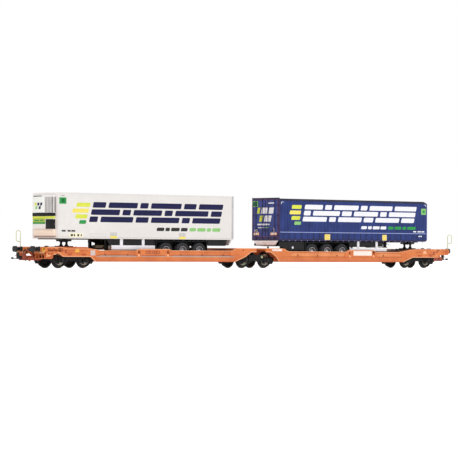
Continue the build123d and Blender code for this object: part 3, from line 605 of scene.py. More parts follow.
# ------------------------------------------------------------------ wagon: decks, floors, end beams
for side, sx in (("left", -1), ("right", 1)):
    p = Piece(side + "_deck_fittings")

    def X(s):
        return sx * s
    for sy in (-1, 1):
        # raised tread strips with cross bars; the bars' pale orange is painted highlight
        for s0, s1, y0, y1 in ((166.0, 188.6, 9.2, 15.6), (155.4, 162.4, 9.2, 15.6)):
            p.box(X(s0), X(s1), sy * y0, sy * y1, 13.38, 13.5, "orange", 0.05)
            s = s0 + 0.7
            while s < s1 - 0.7:
                for q in range(4):
                    a = y0 + 0.5 + q * 1.5
                    p.box(X(s), X(s + 0.25), sy * a, sy * (a + 1.0), 13.48, 13.58, "orange_highlight", 0.03)
                s += 0.95
        for s0, s1 in ((6.0, 10.8), (12.6, 22.8)):
            p.box(X(s0), X(s1), sy * 7.2, sy * 15.6, 13.38, 13.5, "orange", 0.05)
            s = s0 + 0.6
            while s < s1 - 0.5:
                for q in range(5):
                    a = 7.7 + q * 1.5
                    p.box(X(s), X(s + 0.25), sy * a, sy * (a + 1.0), 13.48, 13.58, "orange_highlight", 0.03)
                s += 0.95
        # cross ribs on the plate that rises to the deck, pale orange as painted highlight
        for s in (147.0, 149.0, 151.0, 153.0):
            z = 11.4 + (s - 146.0) * 2.0 / 9.0
            p.prism([(X(s), z - 0.05), (X(s + 0.3), z + 0.02), (X(s + 0.3), z + 0.2), (X(s), z + 0.13)], "y", sy * 4.0, sy * 15.4, "orange_highlight", 0.0)
        # edge channels
        p.box(X(155.2), X(189.6), sy * 15.9, sy * 16.2, 13.3, 13.75, "orange", 0.06)
        # trestle locks beside the trestle
        p.box(X(157.4), X(168.8), sy * 6.6, sy * 7.6, 13.38, 13.8, "orange", 0.08)
        for s in (158.4, 163.1, 167.8):
            p.rod("z", (X(s), sy * 7.1), 0.32, 13.7, 14.05, "iron", 6)
        p.box(X(170.8), X(174.0), sy * 6.0, sy * 8.4, 13.38, 13.95, "orange", 0.1)
        p.rod("x", (sy * 7.2, 14.1), 0.35, X(171.0), X(173.8), "iron", 12)
    # middle hatches, pale orange as painted highlight
    for s in (180.5, 186.0):
        p.box(X(s - 1.9), X(s + 1.9), -2.0, 2.0, 13.38, 13.52, "orange_highlight", 0.05)
        for a in (-1.5, 1.5):
            for y in (-1.6, 1.6):
                p.rod("z", (X(s + a), y), 0.18, 13.5, 13.64, "iron", 6)
    p.done(side + "_frame")

    p = Piece(side + "_floor_treads")
    for sy in (-1, 1):
        # tread bars in pale orange as painted highlight
        s = 26.0
        while s < 139.0:
            p.box(X(s), X(s + 0.35), sy * 9.4, sy * 14.6, 5.16, 5.26, "orange_highlight", 0.03)
            s += 1.6
    for s in (32.0, 44.0, 56.0, 68.0, 80.0, 128.0):
        for y in (-5.6, -1.4, 2.8):
            p.box(X(s), X(s + 3.2), y, y + 2.6, 5.16, 5.3, "orange", 0.06)
    p.done(side + "_frame")

    p = Piece(side + "_beam_fittings")
    for sy in (-1, 1):
        y = sy * 10.06
        # buffer base plate with its bolts, the plate in a lighter orange as painted light
        p.box(X(190.95), X(191.35), y - 2.3, y + 2.3, 10.6, 13.3, "orange_painted_light", 0.1)
        for dy in (-1.85, 1.85):
            for z in (11.0, 12.9):
                p.rod("x", (y + dy, z), 0.22, X(191.3), X(191.55), "iron", 6)
        # grab iron under the buffer and its eyes
        p.tube([(X(191.0), sy * 12.4, 10.2), (X(192.2), sy * 12.4, 10.1), (X(192.2), sy * 16.2, 10.1), (X(191.0), sy * 16.2, 10.2)], 0.16, "wire", 8, 3, 0.6)
        # lamp bracket
        p.box(X(190.9), X(191.3), sy * 15.1, sy * 16.5, 11.4, 13.0, "orange", 0.08)
        p.box(X(190.9), X(191.25), sy * 13.3, sy * 16.9, 10.5, 13.0, "gold" if (sy < 0) == (side == "left") else "deep_orange", 0.05)
        p.box(X(191.2), X(191.5), sy * 15.4, sy * 16.2, 11.7, 12.7, "iron", 0.06)
        # rigid air pipe with its cock
        p.tube([(X(191.0), sy * 5.6, 11.6), (X(192.4), sy * 5.6, 11.4), (X(192.8), sy * 5.4, 8.6), (X(192.4), sy * 5.2, 6.6)], 0.3, "iron", 10, 4, 0.9)
        p.rod("z", (X(192.35), sy * 5.2), 0.45, 5.7, 6.7, "red" if sy < 0 else "iron", 12)
        # dark block behind the pipe as painted shadow
        p.box(X(191.0), X(191.3), sy * 5.0, sy * 6.3, 10.7, 12.3, "painted_shadow", 0.06)
        p.box(X(192.4), X(192.7), sy * 5.9, sy * 6.9, 10.9, 11.2, "iron", 0.05)
        # end stiffeners of the beam
        for yy in (7.0, 13.4):
            p.prism([(X(191.0), 13.3), (X(191.45), 13.0), (X(191.45), 10.2), (X(191.0), 9.6)], "y", sy * yy, sy * (yy + 0.35), "orange", 0.05)
    # hanging pipe in front of the coupler pocket, with its elbow, and a slotted plate beside it; the plate is a lighter
    # orange on the left end as painted light, its slots dark as painted shadow
    p.tube([(X(191.2), 4.3, 10.8), (X(192.0), 4.25, 9.6), (X(192.0), 4.25, 6.0), (X(191.9), 4.25, 4.2)], 0.38, "hole", 10, 4, 0.8)
    p.box(X(190.9), X(191.3), -15.4, -4.4, 9.2, 10.4, "orange_painted_light" if side == "left" else "orange", 0.1)
    for y in (-13.6, -10.6, -7.6):
        p.box(X(191.2), X(191.4), y, y + 1.5, 9.5, 10.0, "painted_shadow", 0.05)
    # draw plate over the coupler, dark brown on the left end as painted shadow
    p.box(X(190.95), X(191.4), -3.6, 3.6, 10.5, 13.2, "painted_shadow" if side == "left" else "orange", 0.12)
    p.box(X(191.3), X(191.6), -1.5, 1.5, 11.0, 12.7, "hole", 0.1)
    for dy in (-3.0, 3.0):
        for z in (11.0, 12.7):
            p.rod("x", (dy, z), 0.24, X(191.35), X(191.62), "iron", 6)
    # step treads: raised bars, pale as painted reflection, and the rail behind them dark as painted shadow
    st = 1 if side == "right" else -1
    for z in (6.0, 8.6):
        s = 185.1
        while s < 189.9:
            p.box(X(s), X(s + 0.3), st * 5.5, st * 14.8, z - 0.03, z + 0.1, "ledge", 0.03)
            s += 0.75
    p.box(X(186.2), X(186.8), st * 5.3, st * 15.0, 6.0, 8.2, "painted_shadow", 0.05)
    for y in (8.4, 11.6):
        p.box(X(190.1), X(190.4), st * y, st * (y + 0.5), 6.0, 9.2, "orange", 0.06)
    p.done(side + "_frame")

    # ------------------------------------------------ bays beside the end beam: dark sheets in the openings as painted shade, pale orange uprights as painted highlight, pale ledges as painted reflection
    p = Piece(side + "_bay_fittings")
    for s0, s1, z0 in ((177.8, 180.4, 10.4), (181.2, 183.9, 10.7), (184.7, 188.6, 10.7)):
        p.box(X(s0), X(s1), st * 16.25, st * 16.35, z0, 12.0, "bay", 0.0)
    for s in (176.7, 180.6, 184.1, 188.8):
        p.box(X(s), X(s + 0.45), st * 17.3, st * 17.4, 10.2, 13.2, "orange_highlight", 0.03)
    for sy in (-1, 1):
        p.box(X(177.2), X(189.4), sy * 16.4, sy * 17.3, 9.95 if side == "left" else 9.25, 10.15 if side == "left" else 9.45, "ledge", 0.03)
        p.box(X(178.0), X(180.0), sy * 17.2, sy * 17.4, 12.3, 13.1, "gold", 0.04)
    p.done(side + "_frame")

    # ------------------------------------------------ buffers
    p = Piece(side + "_buffer_pair")
    for sy in (-1, 1):
        y = sy * 10.06
        p.lathe("x", (y, 12.2), [(X(191.0), 0.0), (X(191.0), 1.75), (X(191.6), 1.75), (X(191.75), 1.5), (X(193.4), 1.35), (X(193.5), 1.2), (X(193.5), 0.95),
                                 (X(195.6), 0.95), (X(195.9), 1.3), (X(196.1), 1.5), (X(196.1), 0.0)], ["iron"] * 5 + ["black"] * 5, 32)
        outline = []
        for cy, cz, a0 in ((1.25, 0.55, 0), (-1.25, 0.55, 90), (-1.25, -0.55, 180), (1.25, -0.55, 270)):
            for q in range(6):
                a = math.radians(a0 + q * 18)
                outline.append((y + cy + 1.45 * math.cos(a), 12.2 + cz + 1.45 * math.sin(a)))
        p.prism(outline, "x", X(196.0), X(196.98), "iron", 0.22, 2)
    p.done(side + "_frame", (side + "_buffers",))

    # ------------------------------------------------ coupler details
    p = Piece(side + "_coupler_fittings")
    for dy in (-1, 1):
        p.rod("y", (X(189.0), 6.2), 0.35, dy * 2.1, dy * 2.35, "iron", 8)
        p.rod("y", (X(195.6), 6.2), 0.35, dy * 2.1, dy * 2.35, "iron", 8)
        # dark strips beside the coupler as painted shadow
        p.box(X(187.4), X(193.6), dy * 2.15, dy * 2.32, 7.1, 7.5, "painted_shadow", 0.05)
    p.prism([(X(190.8), 4.8), (X(192.6), 4.8), (X(191.9), 3.9), (X(191.5), 3.9)], "y", -0.5, 0.5, "red", 0.1)
    p.tube([(X(200.9), -1.25, 9.2), (X(203.0), -1.25, 7.6), (X(203.0), 1.25, 7.6), (X(200.9), 1.25, 9.2)], 0.14, "iron", 8, 3, 0.4)
    p.box(X(196.0), X(200.6), -0.7, 0.7, 7.2, 7.45, "iron", 0.08)
    p.done(side + "_coupler")


# ------------------------------------------------------------------ bogies
def spring(p, x, y, z0, z1, r, k="iron"):
    pts = [(z0, 0.0), (z0, r * 0.9)]
    n = 5
    for i in range(n):
        a = z0 + (z1 - z0) * (i + 0.1) / n
        b = z0 + (z1 - z0) * (i + 0.5) / n
        c = z0 + (z1 - z0) * (i + 0.9) / n
        pts += [(a, r * 0.78), (b, r), (c, r * 0.78)]
    pts += [(z1, r * 0.9), (z1, 0.0)]
    p.lathe("z", (x, y), pts, k, 14)


for name, bx in (("left", -BX), ("middle", 0.0), ("right", BX)):
    p = Piece(name + "_springs_and_boxes")
    for ax in (-WB / 2, WB / 2):
        for sy in (-1, 1):
            x = bx + ax
            p.prism([(x - 1.9, 3.6), (x - 1.5, 3.2), (x + 1.5, 3.2), (x + 1.9, 3.6), (x + 1.9, 6.6), (x + 1.3, 7.1), (x - 1.3, 7.1), (x - 1.9, 6.6)], "y", sy * 12.2, sy * 12.85, "black", 0.12)
            p.lathe("y", (x, AZ), [(sy * 12.7, 0.0), (sy * 12.7, 1.4), (sy * 13.0, 1.4), (sy * 13.1, 1.25), (sy * 13.1, 1.0), (sy * 13.25, 0.9), (sy * 13.28, 0.0)], "iron", 24)
            for q in range(6):
                a = q * math.pi / 3
                p.rod("y", (x + 1.18 * math.cos(a), AZ + 1.18 * math.sin(a)), 0.13, sy * 13.05, sy * 13.2, "iron", 6)
            p.box(x - 3.7, x + 3.7, sy * 12.2, sy * 12.75, 3.5, 3.95, "black", 0.1)
            for d in (-2.85, 2.85):
                spring(p, x + d, sy * 12.55, 3.9, 7.0, 0.72)
                p.box(x + d - 0.85, x + d + 0.85, sy * 11.9, sy * 13.25, 6.95, 7.35, "black", 0.1)
                p.rod("z", (x + d, sy * 12.55), 0.28, 7.3, 7.7, "iron", 6)
    p.done(name + "_bogie", (name + "_axle_boxes",))

    p = Piece(name + "_bogie_fittings")
    for sy in (-1, 1):
        # flange and rivets on the side frame, damper pots, bottom plate
        p.prism([(bx - 4.8, 4.65), (bx + 4.8, 4.65), (bx + 4.0, 5.3), (bx - 4.0, 5.3)], "y", sy * 12.15, sy * 12.5, "black", 0.08)
        p.prism([(bx - 5.2, 8.3), (bx + 5.2, 8.3), (bx + 5.2, 8.75), (bx - 5.2, 8.75)], "y", sy * 12.15, sy * 12.5, "black", 0.08)
        for s in (-1, 1):
            p.prism([(bx + s * 15.9, 4.6), (bx + s * 14.8, 2.8), (bx + s * 14.3, 2.8), (bx + s * 15.2, 4.8), (bx + s * 15.2, 6.8), (bx + s * 15.9, 6.8)], "y", sy * 12.15, sy * 12.45, "black", 0.06)
            p.rod("y", (bx + s * 5.9, 6.4), 0.8, sy * 12.1, sy * 12.9, "iron", 16, 0.12)
            p.rod("y", (bx + s * 5.9, 6.4), 0.35, sy * 12.8, sy * 13.1, "black", 10)
            for a, z in ((2.6, 7.2), (2.6, 5.8), (14.4, 6.4), (13.4, 6.4)):
                p.rod("y", (bx + s * a, z), 0.18, sy * 12.15, sy * 12.4, "iron", 6)
            # brake shoe and hanger beside each wheel, inner side
            wx = bx + s * WB / 2
            p.prism([(wx - s * 5.55, 3.6), (wx - s * 6.3, 3.4), (wx - s * 6.6, 5.2), (wx - s * 6.3, 7.0), (wx - s * 5.55, 6.9), (wx - s * 5.85, 5.3)], "y", sy * 8.2, sy * 9.8, "iron", 0.08)
            p.box(wx - s * 6.2, wx - s * 6.6, sy * 8.8, sy * 9.2, 6.6, 8.4, "black", 0.06)
        p.rod("x", (sy * 6.2, 7.6), 0.3, bx - 9.0, bx + 9.0, "iron", 10)
    for s in (-1, 1):
        wx = bx + s * WB / 2
        p.tube([(wx - s * 6.4, -9.0, 4.9), (wx - s * 5.2, 0.0, 4.6), (wx - s * 6.4, 9.0, 4.9)], 0.28, "iron", 8, 4, 3.0)
        # end cross tube between the side frames
        p.rod("y", (bx + s * 3.1, 7.9), 0.45, -10.4, 10.4, "black", 12)
    # side bearers
    for sy in (-1, 1):
        p.rod("z", (bx, sy * 8.4), 1.1, 8.9, 9.6, "iron", 20, 0.1)
    if name == "middle":
        for sy in (-1, 1):
            p.lathe("y", (bx + 4.8, 7.4), [(sy * 12.1, 0.45), (sy * 12.6, 0.45), (sy * 12.75, 0.6), (sy * 12.6, 0.85), (sy * 12.1, 0.85)], "wire", 24, ring=True)
    p.done(name + "_bogie")

    for label, ax in (("outer" if name != "middle" else "left", -WB / 2), ("inner" if name != "middle" else "right", WB / 2)):
        if name == "right":
            label = {"outer": "inner", "inner": "outer"}[label]
        p = Piece("%s_%s_wheels" % (name, label))
        x = bx + ax
        p.rod("y", (x, AZ), 0.95, -10.2, 10.2, "blackened", 24)
        # the flanges below the rising plate stay clear of it when the bogie turns
        trim = 0.12 if name != "middle" and label == "inner" else 0.0
        for sy in (-1, 1):
            pts = [(7.0, 0.95), (7.0, 1.75), (7.5, 1.85), (7.95, 2.3), (8.0, 3.8), (7.75, 4.25), (7.2, 4.5), (7.2, 5.75 - trim), (7.32, 5.95 - trim), (7.5, 6.0 - trim), (7.7, 5.92 - trim), (7.85, 5.6 - trim), (8.15, 5.36),
                   (9.75, 5.27), (9.95, 5.2), (10.0, 5.05), (10.0, 4.62), (9.85, 4.45), (9.35, 4.3), (9.2, 4.05), (9.15, 2.2), (9.35, 1.85), (10.05, 1.65), (10.1, 0.95)]
            keys = ["blackened"] * 7 + ["blackened"] * 4 + ["iron"] + ["blackened"] * 2 + ["iron"] * 3 + ["blackened"] * 2 + ["nickel"] * 2 + ["blackened"] * 2
            keys = keys[:len(pts) - 1] + ["blackened"]
            while len(keys) < len(pts):
                keys.append("blackened")
            p.lathe("y", (x, AZ), [(sy * a, r) for a, r in pts], keys, 64, ring=True)
            p.lathe("y", (x, AZ), [(sy * 10.0, 0.0), (sy * 10.0, 0.9), (sy * 11.3, 0.7), (sy * 11.48, 0.5), (sy * 11.5, 0.0)], "iron", 20)
        p.done(("left" if name == "left" else name) + "_" + label + "_wheelset", ("%s_%s_wheelset" % (name, label),))


# ------------------------------------------------------------------ trailers: running gear
T = {
    "white": dict(front=-178.7, rear=-24.1, z0=19.4, z1=50.35, axles=(-85.0, -69.9, -54.8), leg=-134.0, leg_z=10.2, d=-1),
    "blue": dict(front=170.4, rear=18.9, z0=19.3, z1=49.6, axles=(52.3, 67.3, 82.3), leg=130.5, leg_z=14.6, d=1),
}
HALF = 14.66
TZ, TR = 11.3, 6.0


def trailer_axle(piece, x):
    p = piece
    p.rod("y", (x, TZ), 0.8, -9.9, 9.9, "iron", 20)
    for sy in (-1, 1):
        pts = [(10.3, 3.25), (9.9, 3.5), (9.82, 4.5), (10.0, 5.2), (10.35, 5.7), (10.75, 5.86)]
        for a in (10.95, 11.7, 12.45, 13.2):
            pts += [(a - 0.15, 6.0), (a + 0.25, 6.0), (a + 0.3, 5.82), (a + 0.42, 5.82)]
        pts += [(13.75, 5.9), (14.0, 5.6), (14.16, 5.15), (14.22, 5.0), (14.3, 4.6), (14.28, 4.2), (14.2, 4.1), (14.22, 3.7), (14.1, 3.4), (13.9, 3.25)]

        def tooth(i, j, pts=pts):
            a, r = pts[j]
            return -0.14 if (i // 2) % 2 and r > 5.5 and not 11.4 < a < 12.9 else 0.0
        p.lathe("y", (x, TZ), [(sy * a, r) for a, r in pts], "tyre", 96, ring=True, tooth=tooth)
        # rim: bead flange, dish, disc with hand holes, nuts, hub cap
        rim = [(sy * 13.0, 0.0), (sy * 13.0, 2.5), (sy * 13.3, 2.75), (sy * 13.9, 2.9), (sy * 14.05, 3.05), (sy * 14.05, 3.3), (sy * 13.85, 3.38), (sy * 10.3, 3.3), (sy * 10.2, 3.0), (sy * 10.6, 2.9), (sy * 10.6, 0.0)]
        p.lathe("y", (x, TZ), rim, ["tyre"] + ["tyre", "rim", "rim", "rim_edge", "rim_edge"] + ["tyre"] * 4, 64)
        for q in range(10):
            a = q * math.pi / 5 + 0.2
            p.lathe("y", (x + 2.1 * math.cos(a), TZ + 2.1 * math.sin(a)), [(sy * 12.95, 0.0), (sy * 13.08, 0.38), (sy * 13.1, 0.3), (sy * 13.02, 0.0)], "rim_edge", 10)
            a += 0.31
            p.rod("y", (x + 1.4 * math.cos(a), TZ + 1.4 * math.sin(a)), 0.16, sy * 12.95, sy * 13.3, "rim", 6)
        p.lathe("y", (x, TZ), [(sy * 12.9, 0.0), (sy * 12.9, 1.75), (sy * 13.12, 1.7), (sy * 13.14, 1.1), (sy * 13.7, 0.95), (sy * 13.95, 0.8), (sy * 14.0, 0.0)], ["rim", "rim", "rim", "hub", "hub", "hub"], 32)
        p.lathe("y", (x, TZ), [(sy * 8.95, 0.0), (sy * 8.95, 2.5), (sy * 9.7, 2.7), (sy * 10.7, 2.7), (sy * 10.7, 0.0)], "iron", 32)


for name, t in T.items():
    body = name + "_trailer"
    for label, x in zip(("first", "second", "third"), sorted(t["axles"], key=lambda v: -t["d"] * v)):
        p = Piece("%s_%s_wheels" % (name, label))
        trailer_axle(p, x)
        p.done("%s_%s_axle" % (name, label), ("%s_%s_axle" % (name, label),))
    dress(name + "_chassis", "black", 0.1)
    dress(name + "_landing_legs", "black", 0.1)
    d, z0, z1, lx = t["d"], t["z0"], t["z1"], t["leg"]

    p = Piece(name + "_chassis_fittings")
    # cross members under the floor, outriggers, air springs, brake chambers, leg gear
    x = t["front"] - d * 4.0
    while (x - t["rear"]) * d > 4.0:
        if abs(x - d * BX) > 5.4:
            p.box(x - 0.2, x + 0.2, -13.6, 13.6, z0 - 0.55, z0, "iron", 0.04)
            p.box(x - 0.45, x + 0.45, -13.6, 13.6, z0 - 0.62, z0 - 0.5, "iron", 0.03)
        x -= d * 4.6
    for ax in t["axles"]:
        for y in (-5.0, 5.0):
            p.lathe("z", (ax + d * -2.6, y), [(12.6, 0.0), (12.6, 0.9), (13.0, 1.3), (13.6, 1.45), (14.0, 1.2), (14.4, 1.45), (15.0, 1.3), (15.3, 1.0), (15.3, 0.0)], "tyre", 20)
            p.rod("x", (y * 0.62, TZ + 1.6), 0.95, ax + 1.2, ax + 3.0, "iron", 20, 0.15)
    for sy in (-1, 1):
        p.box(lx - 1.05, lx + 1.05, sy * 8.2, sy * 10.2, z0 - 2.6, z0 - 0.8, "iron", 0.1)
    p.tube([(lx, -10.1, z0 - 1.8), (lx, -12.2, z0 - 1.8), (lx + 1.6, -12.4, z0 - 2.8)], 0.14, "iron", 8, 3, 0.5)
    # toolbox and valve block between the frame rails
    p.box(lx - d * 20.0, lx - d * 26.0, -5.2, -1.0, z0 - 3.0, z0 - 0.7, "iron", 0.2)
    p.rod("x", (2.6, z0 - 2.0), 1.25, lx - d * 18.0, lx - d * 27.0, "iron", 24, 0.2)
    if name == "white":
        # shell and domed ends of the tank, two straps, stay with a reflector between the wheels
        # the tank shell's tone is lightened as painted light
        p.lathe("y", (-131.2, 13.6), [(-10.5, 0.0), (-10.4, 0.9), (-10.0, 1.5), (-9.5, 1.68), (9.5, 1.68), (10.0, 1.5), (10.4, 0.9), (10.5, 0.0)], ["plate"] * 2 + ["tank"] * 3 + ["plate"] * 2, 32)
        for y in (-6.6, -5.0, 5.0, 6.6):
            p.lathe("y", (-131.2, 13.6), [(y - 0.2, 1.6), (y - 0.2, 1.8), (y + 0.2, 1.8), (y + 0.2, 1.6)], "iron", 32, ring=True)
        for sy in (-1, 1):
            p.box(-62.8, -62.2, sy * 8.4, sy * 13.1, 13.9, 14.5, "iron", 0.08)
            p.box(-62.8, -62.2, sy * 8.4, sy * 9.2, 13.9, z0 - 1.0, "iron", 0.08)
            p.lathe("y", (-62.5, 14.3), [(sy * 13.0, 0.0), (sy * 13.0, 0.7), (sy * 13.2, 0.65), (sy * 13.3, 0.4), (sy * 13.32, 0.0)], "print_white", 16)
    p.done(body)


# ------------------------------------------------------------------ trailers: side guards and bumpers
guards = {
    "white": ([(-136.9, 18.9), (-134.3, 15.0), (-94.8, 15.0), (-94.8, 18.9)], [(-125.6, -123.0), (-106.4, -104.1)], (-132.9, -94.8, 12.1, 15.05),
              [(-46.9, 18.9), (-46.9, 15.1), (-30.4, 15.1), (-30.4, 18.9)]),
    "blue": ([(90.3, 18.8), (90.3, 15.3), (124.4, 15.3), (124.4, 18.8)], [(97.6, 99.8), (116.5, 118.7)], (89.8, 128.1, 11.9, 13.9),
             [(20.6, 18.8), (19.8, 15.6), (30.6, 12.1), (45.2, 12.1), (45.2, 18.8)]),
}
for name, (panel, posts, rail, valance) in guards.items():
    t = T[name]
    p = Piece(name + "_guard_set")
    for sy in (-1, 1):
        if name == "white" and sy > 0:
            panel, rail = [(-126.2, 18.9), (-126.2, 15.0), (-94.8, 15.0), (-94.8, 18.9)], (-126.2, -94.8, 12.1, 15.05)
        if name == "blue" and sy > 0:
            valance = [(20.6, 18.8), (19.8, 15.6), (31.0, 15.2), (45.2, 15.2), (45.2, 18.8)]
        p.prism(panel, "y", sy * 13.2, sy * 13.55, "guard", 0.08)
        xs = [q[0] for q in panel]
        # pressed lines of the panel
        for z in (15.5, 16.4, 17.3, 18.2):
            p.box(max(min(xs), -134.0 if name == "white" else -1e9) + 0.6, max(xs) - 0.6, sy * 13.5, sy * 13.62, z, z + 0.12, "guard", 0.03)
        p.prism(valance, "y", sy * 13.2, sy * 13.55, "guard", 0.08)
        vx = [q[0] for q in valance]
        for z in (16.2, 17.4):
            p.box(min(vx) + 1.6, max(vx) - 0.6, sy * 13.5, sy * 13.62, z, z + 0.12, "black", 0.03)
        p.box(rail[0], rail[1], sy * 13.2, sy * 13.9, rail[2], rail[3], "print_white", 0.18, 2)
        p.box(rail[0] + 0.3, rail[1] - 0.3, sy * 13.8, sy * 13.95, rail[2] + 0.15, rail[2] + 0.45, "bumper", 0.03)
        for a, b in posts:
            p.box(a, b, sy * 13.3, sy * 13.95, rail[3] - 0.3, t["z0"] - 0.02, "print_white", 0.12)
            for z in (rail[3] - 0.8, t["z0"] - 0.7):
                p.rod("y", ((a + b) / 2, z), 0.2, sy * 13.9, sy * 14.0, "bumper", 8)
        if name == "blue":
            p.lathe("y", (33.5, 14.2), [(sy * 13.5, 0.0), (sy * 13.5, 0.95), (sy * 13.7, 0.9), (sy * 13.85, 0.5), (sy * 13.9, 0.0)], "print_white", 20)
    p.done(name + "_trailer", (name + "_side_guards",))

    p = Piece(name + "_bumper_bar")
    d, z0, rear = t["d"], t["z0"], t["rear"]
    xo, xi = rear + d * 0.1, rear + d * 1.1
    p.prism([(-13.0, z0 - 0.02), (-12.4, z0 - 1.0), (-10.0, z0 - 3.4), (10.0, z0 - 3.4), (12.4, z0 - 1.0), (13.0, z0 - 0.02)], "x", xo, xi, "bumper", 0.15, 2)
    p.prism([(-10.05, z0 - 3.35), (-9.6, z0 - 3.8), (9.6, z0 - 3.8), (10.05, z0 - 3.35)], "x", xo + d * 0.05, xi - d * 0.05, "dark_grey", 0.08)
    for y in (-6.0, 6.0):
        p.box(xi - d * 0.1, xi + d * 1.9, y - 0.4, y + 0.4, z0 - 3.0, z0 - 0.7, "iron", 0.1)
    for sy in (-1, 1):
        p.box(xo - d * 0.1, xo + d * 0.3, sy * 2.2, sy * 9.0, z0 - 1.3, z0 - 1.1, "plate", 0.04)
        p.box(xo - d * 0.1, xo + d * 0.3, sy * 2.2, sy * 9.0, z0 - 2.6, z0 - 2.4, "plate", 0.04)
        for q in (3.0, 8.2):
            p.rod("x", (sy * q, z0 - 0.6), 0.22, xo - d * 0.12, xo + d * 0.1, "plate", 8)
    p.box(xo - d * 0.12, xo + d * 0.2, -1.7, 1.7, z0 - 2.7, z0 - 1.0, "plate", 0.06)
    p.done(name + "_trailer", (name + "_rear_bumper",))


# ------------------------------------------------------------------ white trailer: body
def flat(x, z):
    return HALF


t = T["white"]
z0, z1, fx, rx = t["z0"], t["z1"], t["front"], t["rear"]
for n in ("white_floor", "white_roof", "white_side_walls", "white_rear_frame"):
    dress(n, "white", 0.1)
dress("white_front_wall", "front_white", 0.25)
dress("white_rear_doors", "white", 0.1)
p = Piece("white_body_trim")
for sy in (-1, 1):
    # top and bottom rails, rear corner post, front corner post, panel seams, rivets
    p.box(fx + 0.2, rx - 0.2, sy * 14.6, sy * 14.78, z1 - 1.0, z1 - 0.05, "white", 0.06)
    p.box(fx + 0.2, rx - 0.2, sy * 14.6, sy * 14.82, z0 + 0.02, z0 + 0.95, "white", 0.06)
    p.box(fx + 0.2, rx - 0.2, sy * 14.6, sy * 14.74, z0 + 0.95, z0 + 1.1, "silver_print", 0.03)
    p.box(rx - 1.75, rx - 0.02, sy * 14.6, sy * 14.8, z0, z1, "frame_grey", 0.08)
    p.box(fx + 0.02, fx + 0.7, sy * 14.5, sy * 14.74, z0, z1, "white", 0.1)
    for a, b, c, e in ((-152.0, -138.0, 22.7, 22.82), (-152.0, -138.0, 21.0, 21.12), (-152.0, -151.86, 21.0, 22.8), (-138.14, -138.0, 21.0, 22.8)):
        p.box(a, b, sy * 14.6, sy * 14.68, c, e, "silver_print", 0.0)
    x = fx + 2.0
    while x < rx - 2.0:
        p.rod("y", (x, z0 + 0.5), 0.12, sy * 14.75, sy * 14.9, "silver_print", 6)
        p.rod("y", (x, z1 - 0.5), 0.12, sy * 14.7, sy * 14.86, "silver_print", 6)
        x += 2.6
    # small side marker lamps
    for x in (-174.5, -154.0, -113.0, -44.0):
        p.box(x, x + 0.7, sy * 14.75, sy * 14.9, z0 + 0.35, z0 + 0.65, "beige", 0.05)
# roof: edge profiles and cross seams
for sy in (-1, 1):
    p.box(fx + 0.2, rx - 0.2, sy * 13.4, sy * 14.5, z1 - 0.03, z1 + 0.0, "white", 0.0)
for i in range(1, 9):
    x = fx + (rx - fx) * i / 9.0
    p.box(x - 0.25, x + 0.25, -13.9, 13.9, z1 - 0.06, z1 + 0.08, "silver_print", 0.04)
p.box(fx + 0.3, rx - 0.3, -0.3, 0.3, z1 - 0.06, z1 + 0.06, "silver_print", 0.03)
p.done("white_trailer")

def bar(x0, x1, z0, z1, lean=0.25, r=0.7):
    """Slanted bar with rounded corners, as an outline (x, z)."""
    mid = (z0 + z1) / 2
    r = min(r, (x1 - x0) * 0.3, (z1 - z0) * 0.3)
    pts = []
    for cx, cz, a0 in ((x1 - r, z1 - r, 0), (x0 + r, z1 - r, 90), (x0 + r, z0 + r, 180), (x1 - r, z0 + r, 270)):
        for q in range(4):
            a = math.radians(a0 + q * 30)
            x, z = cx + r * math.cos(a), cz + r * math.sin(a)
            pts.append((x + lean * (z - mid), z))
    return pts


def plain(x0, x1, z0, z1):
    return [(x0, z0), (x1, z0), (x1, z1), (x0, z1)]


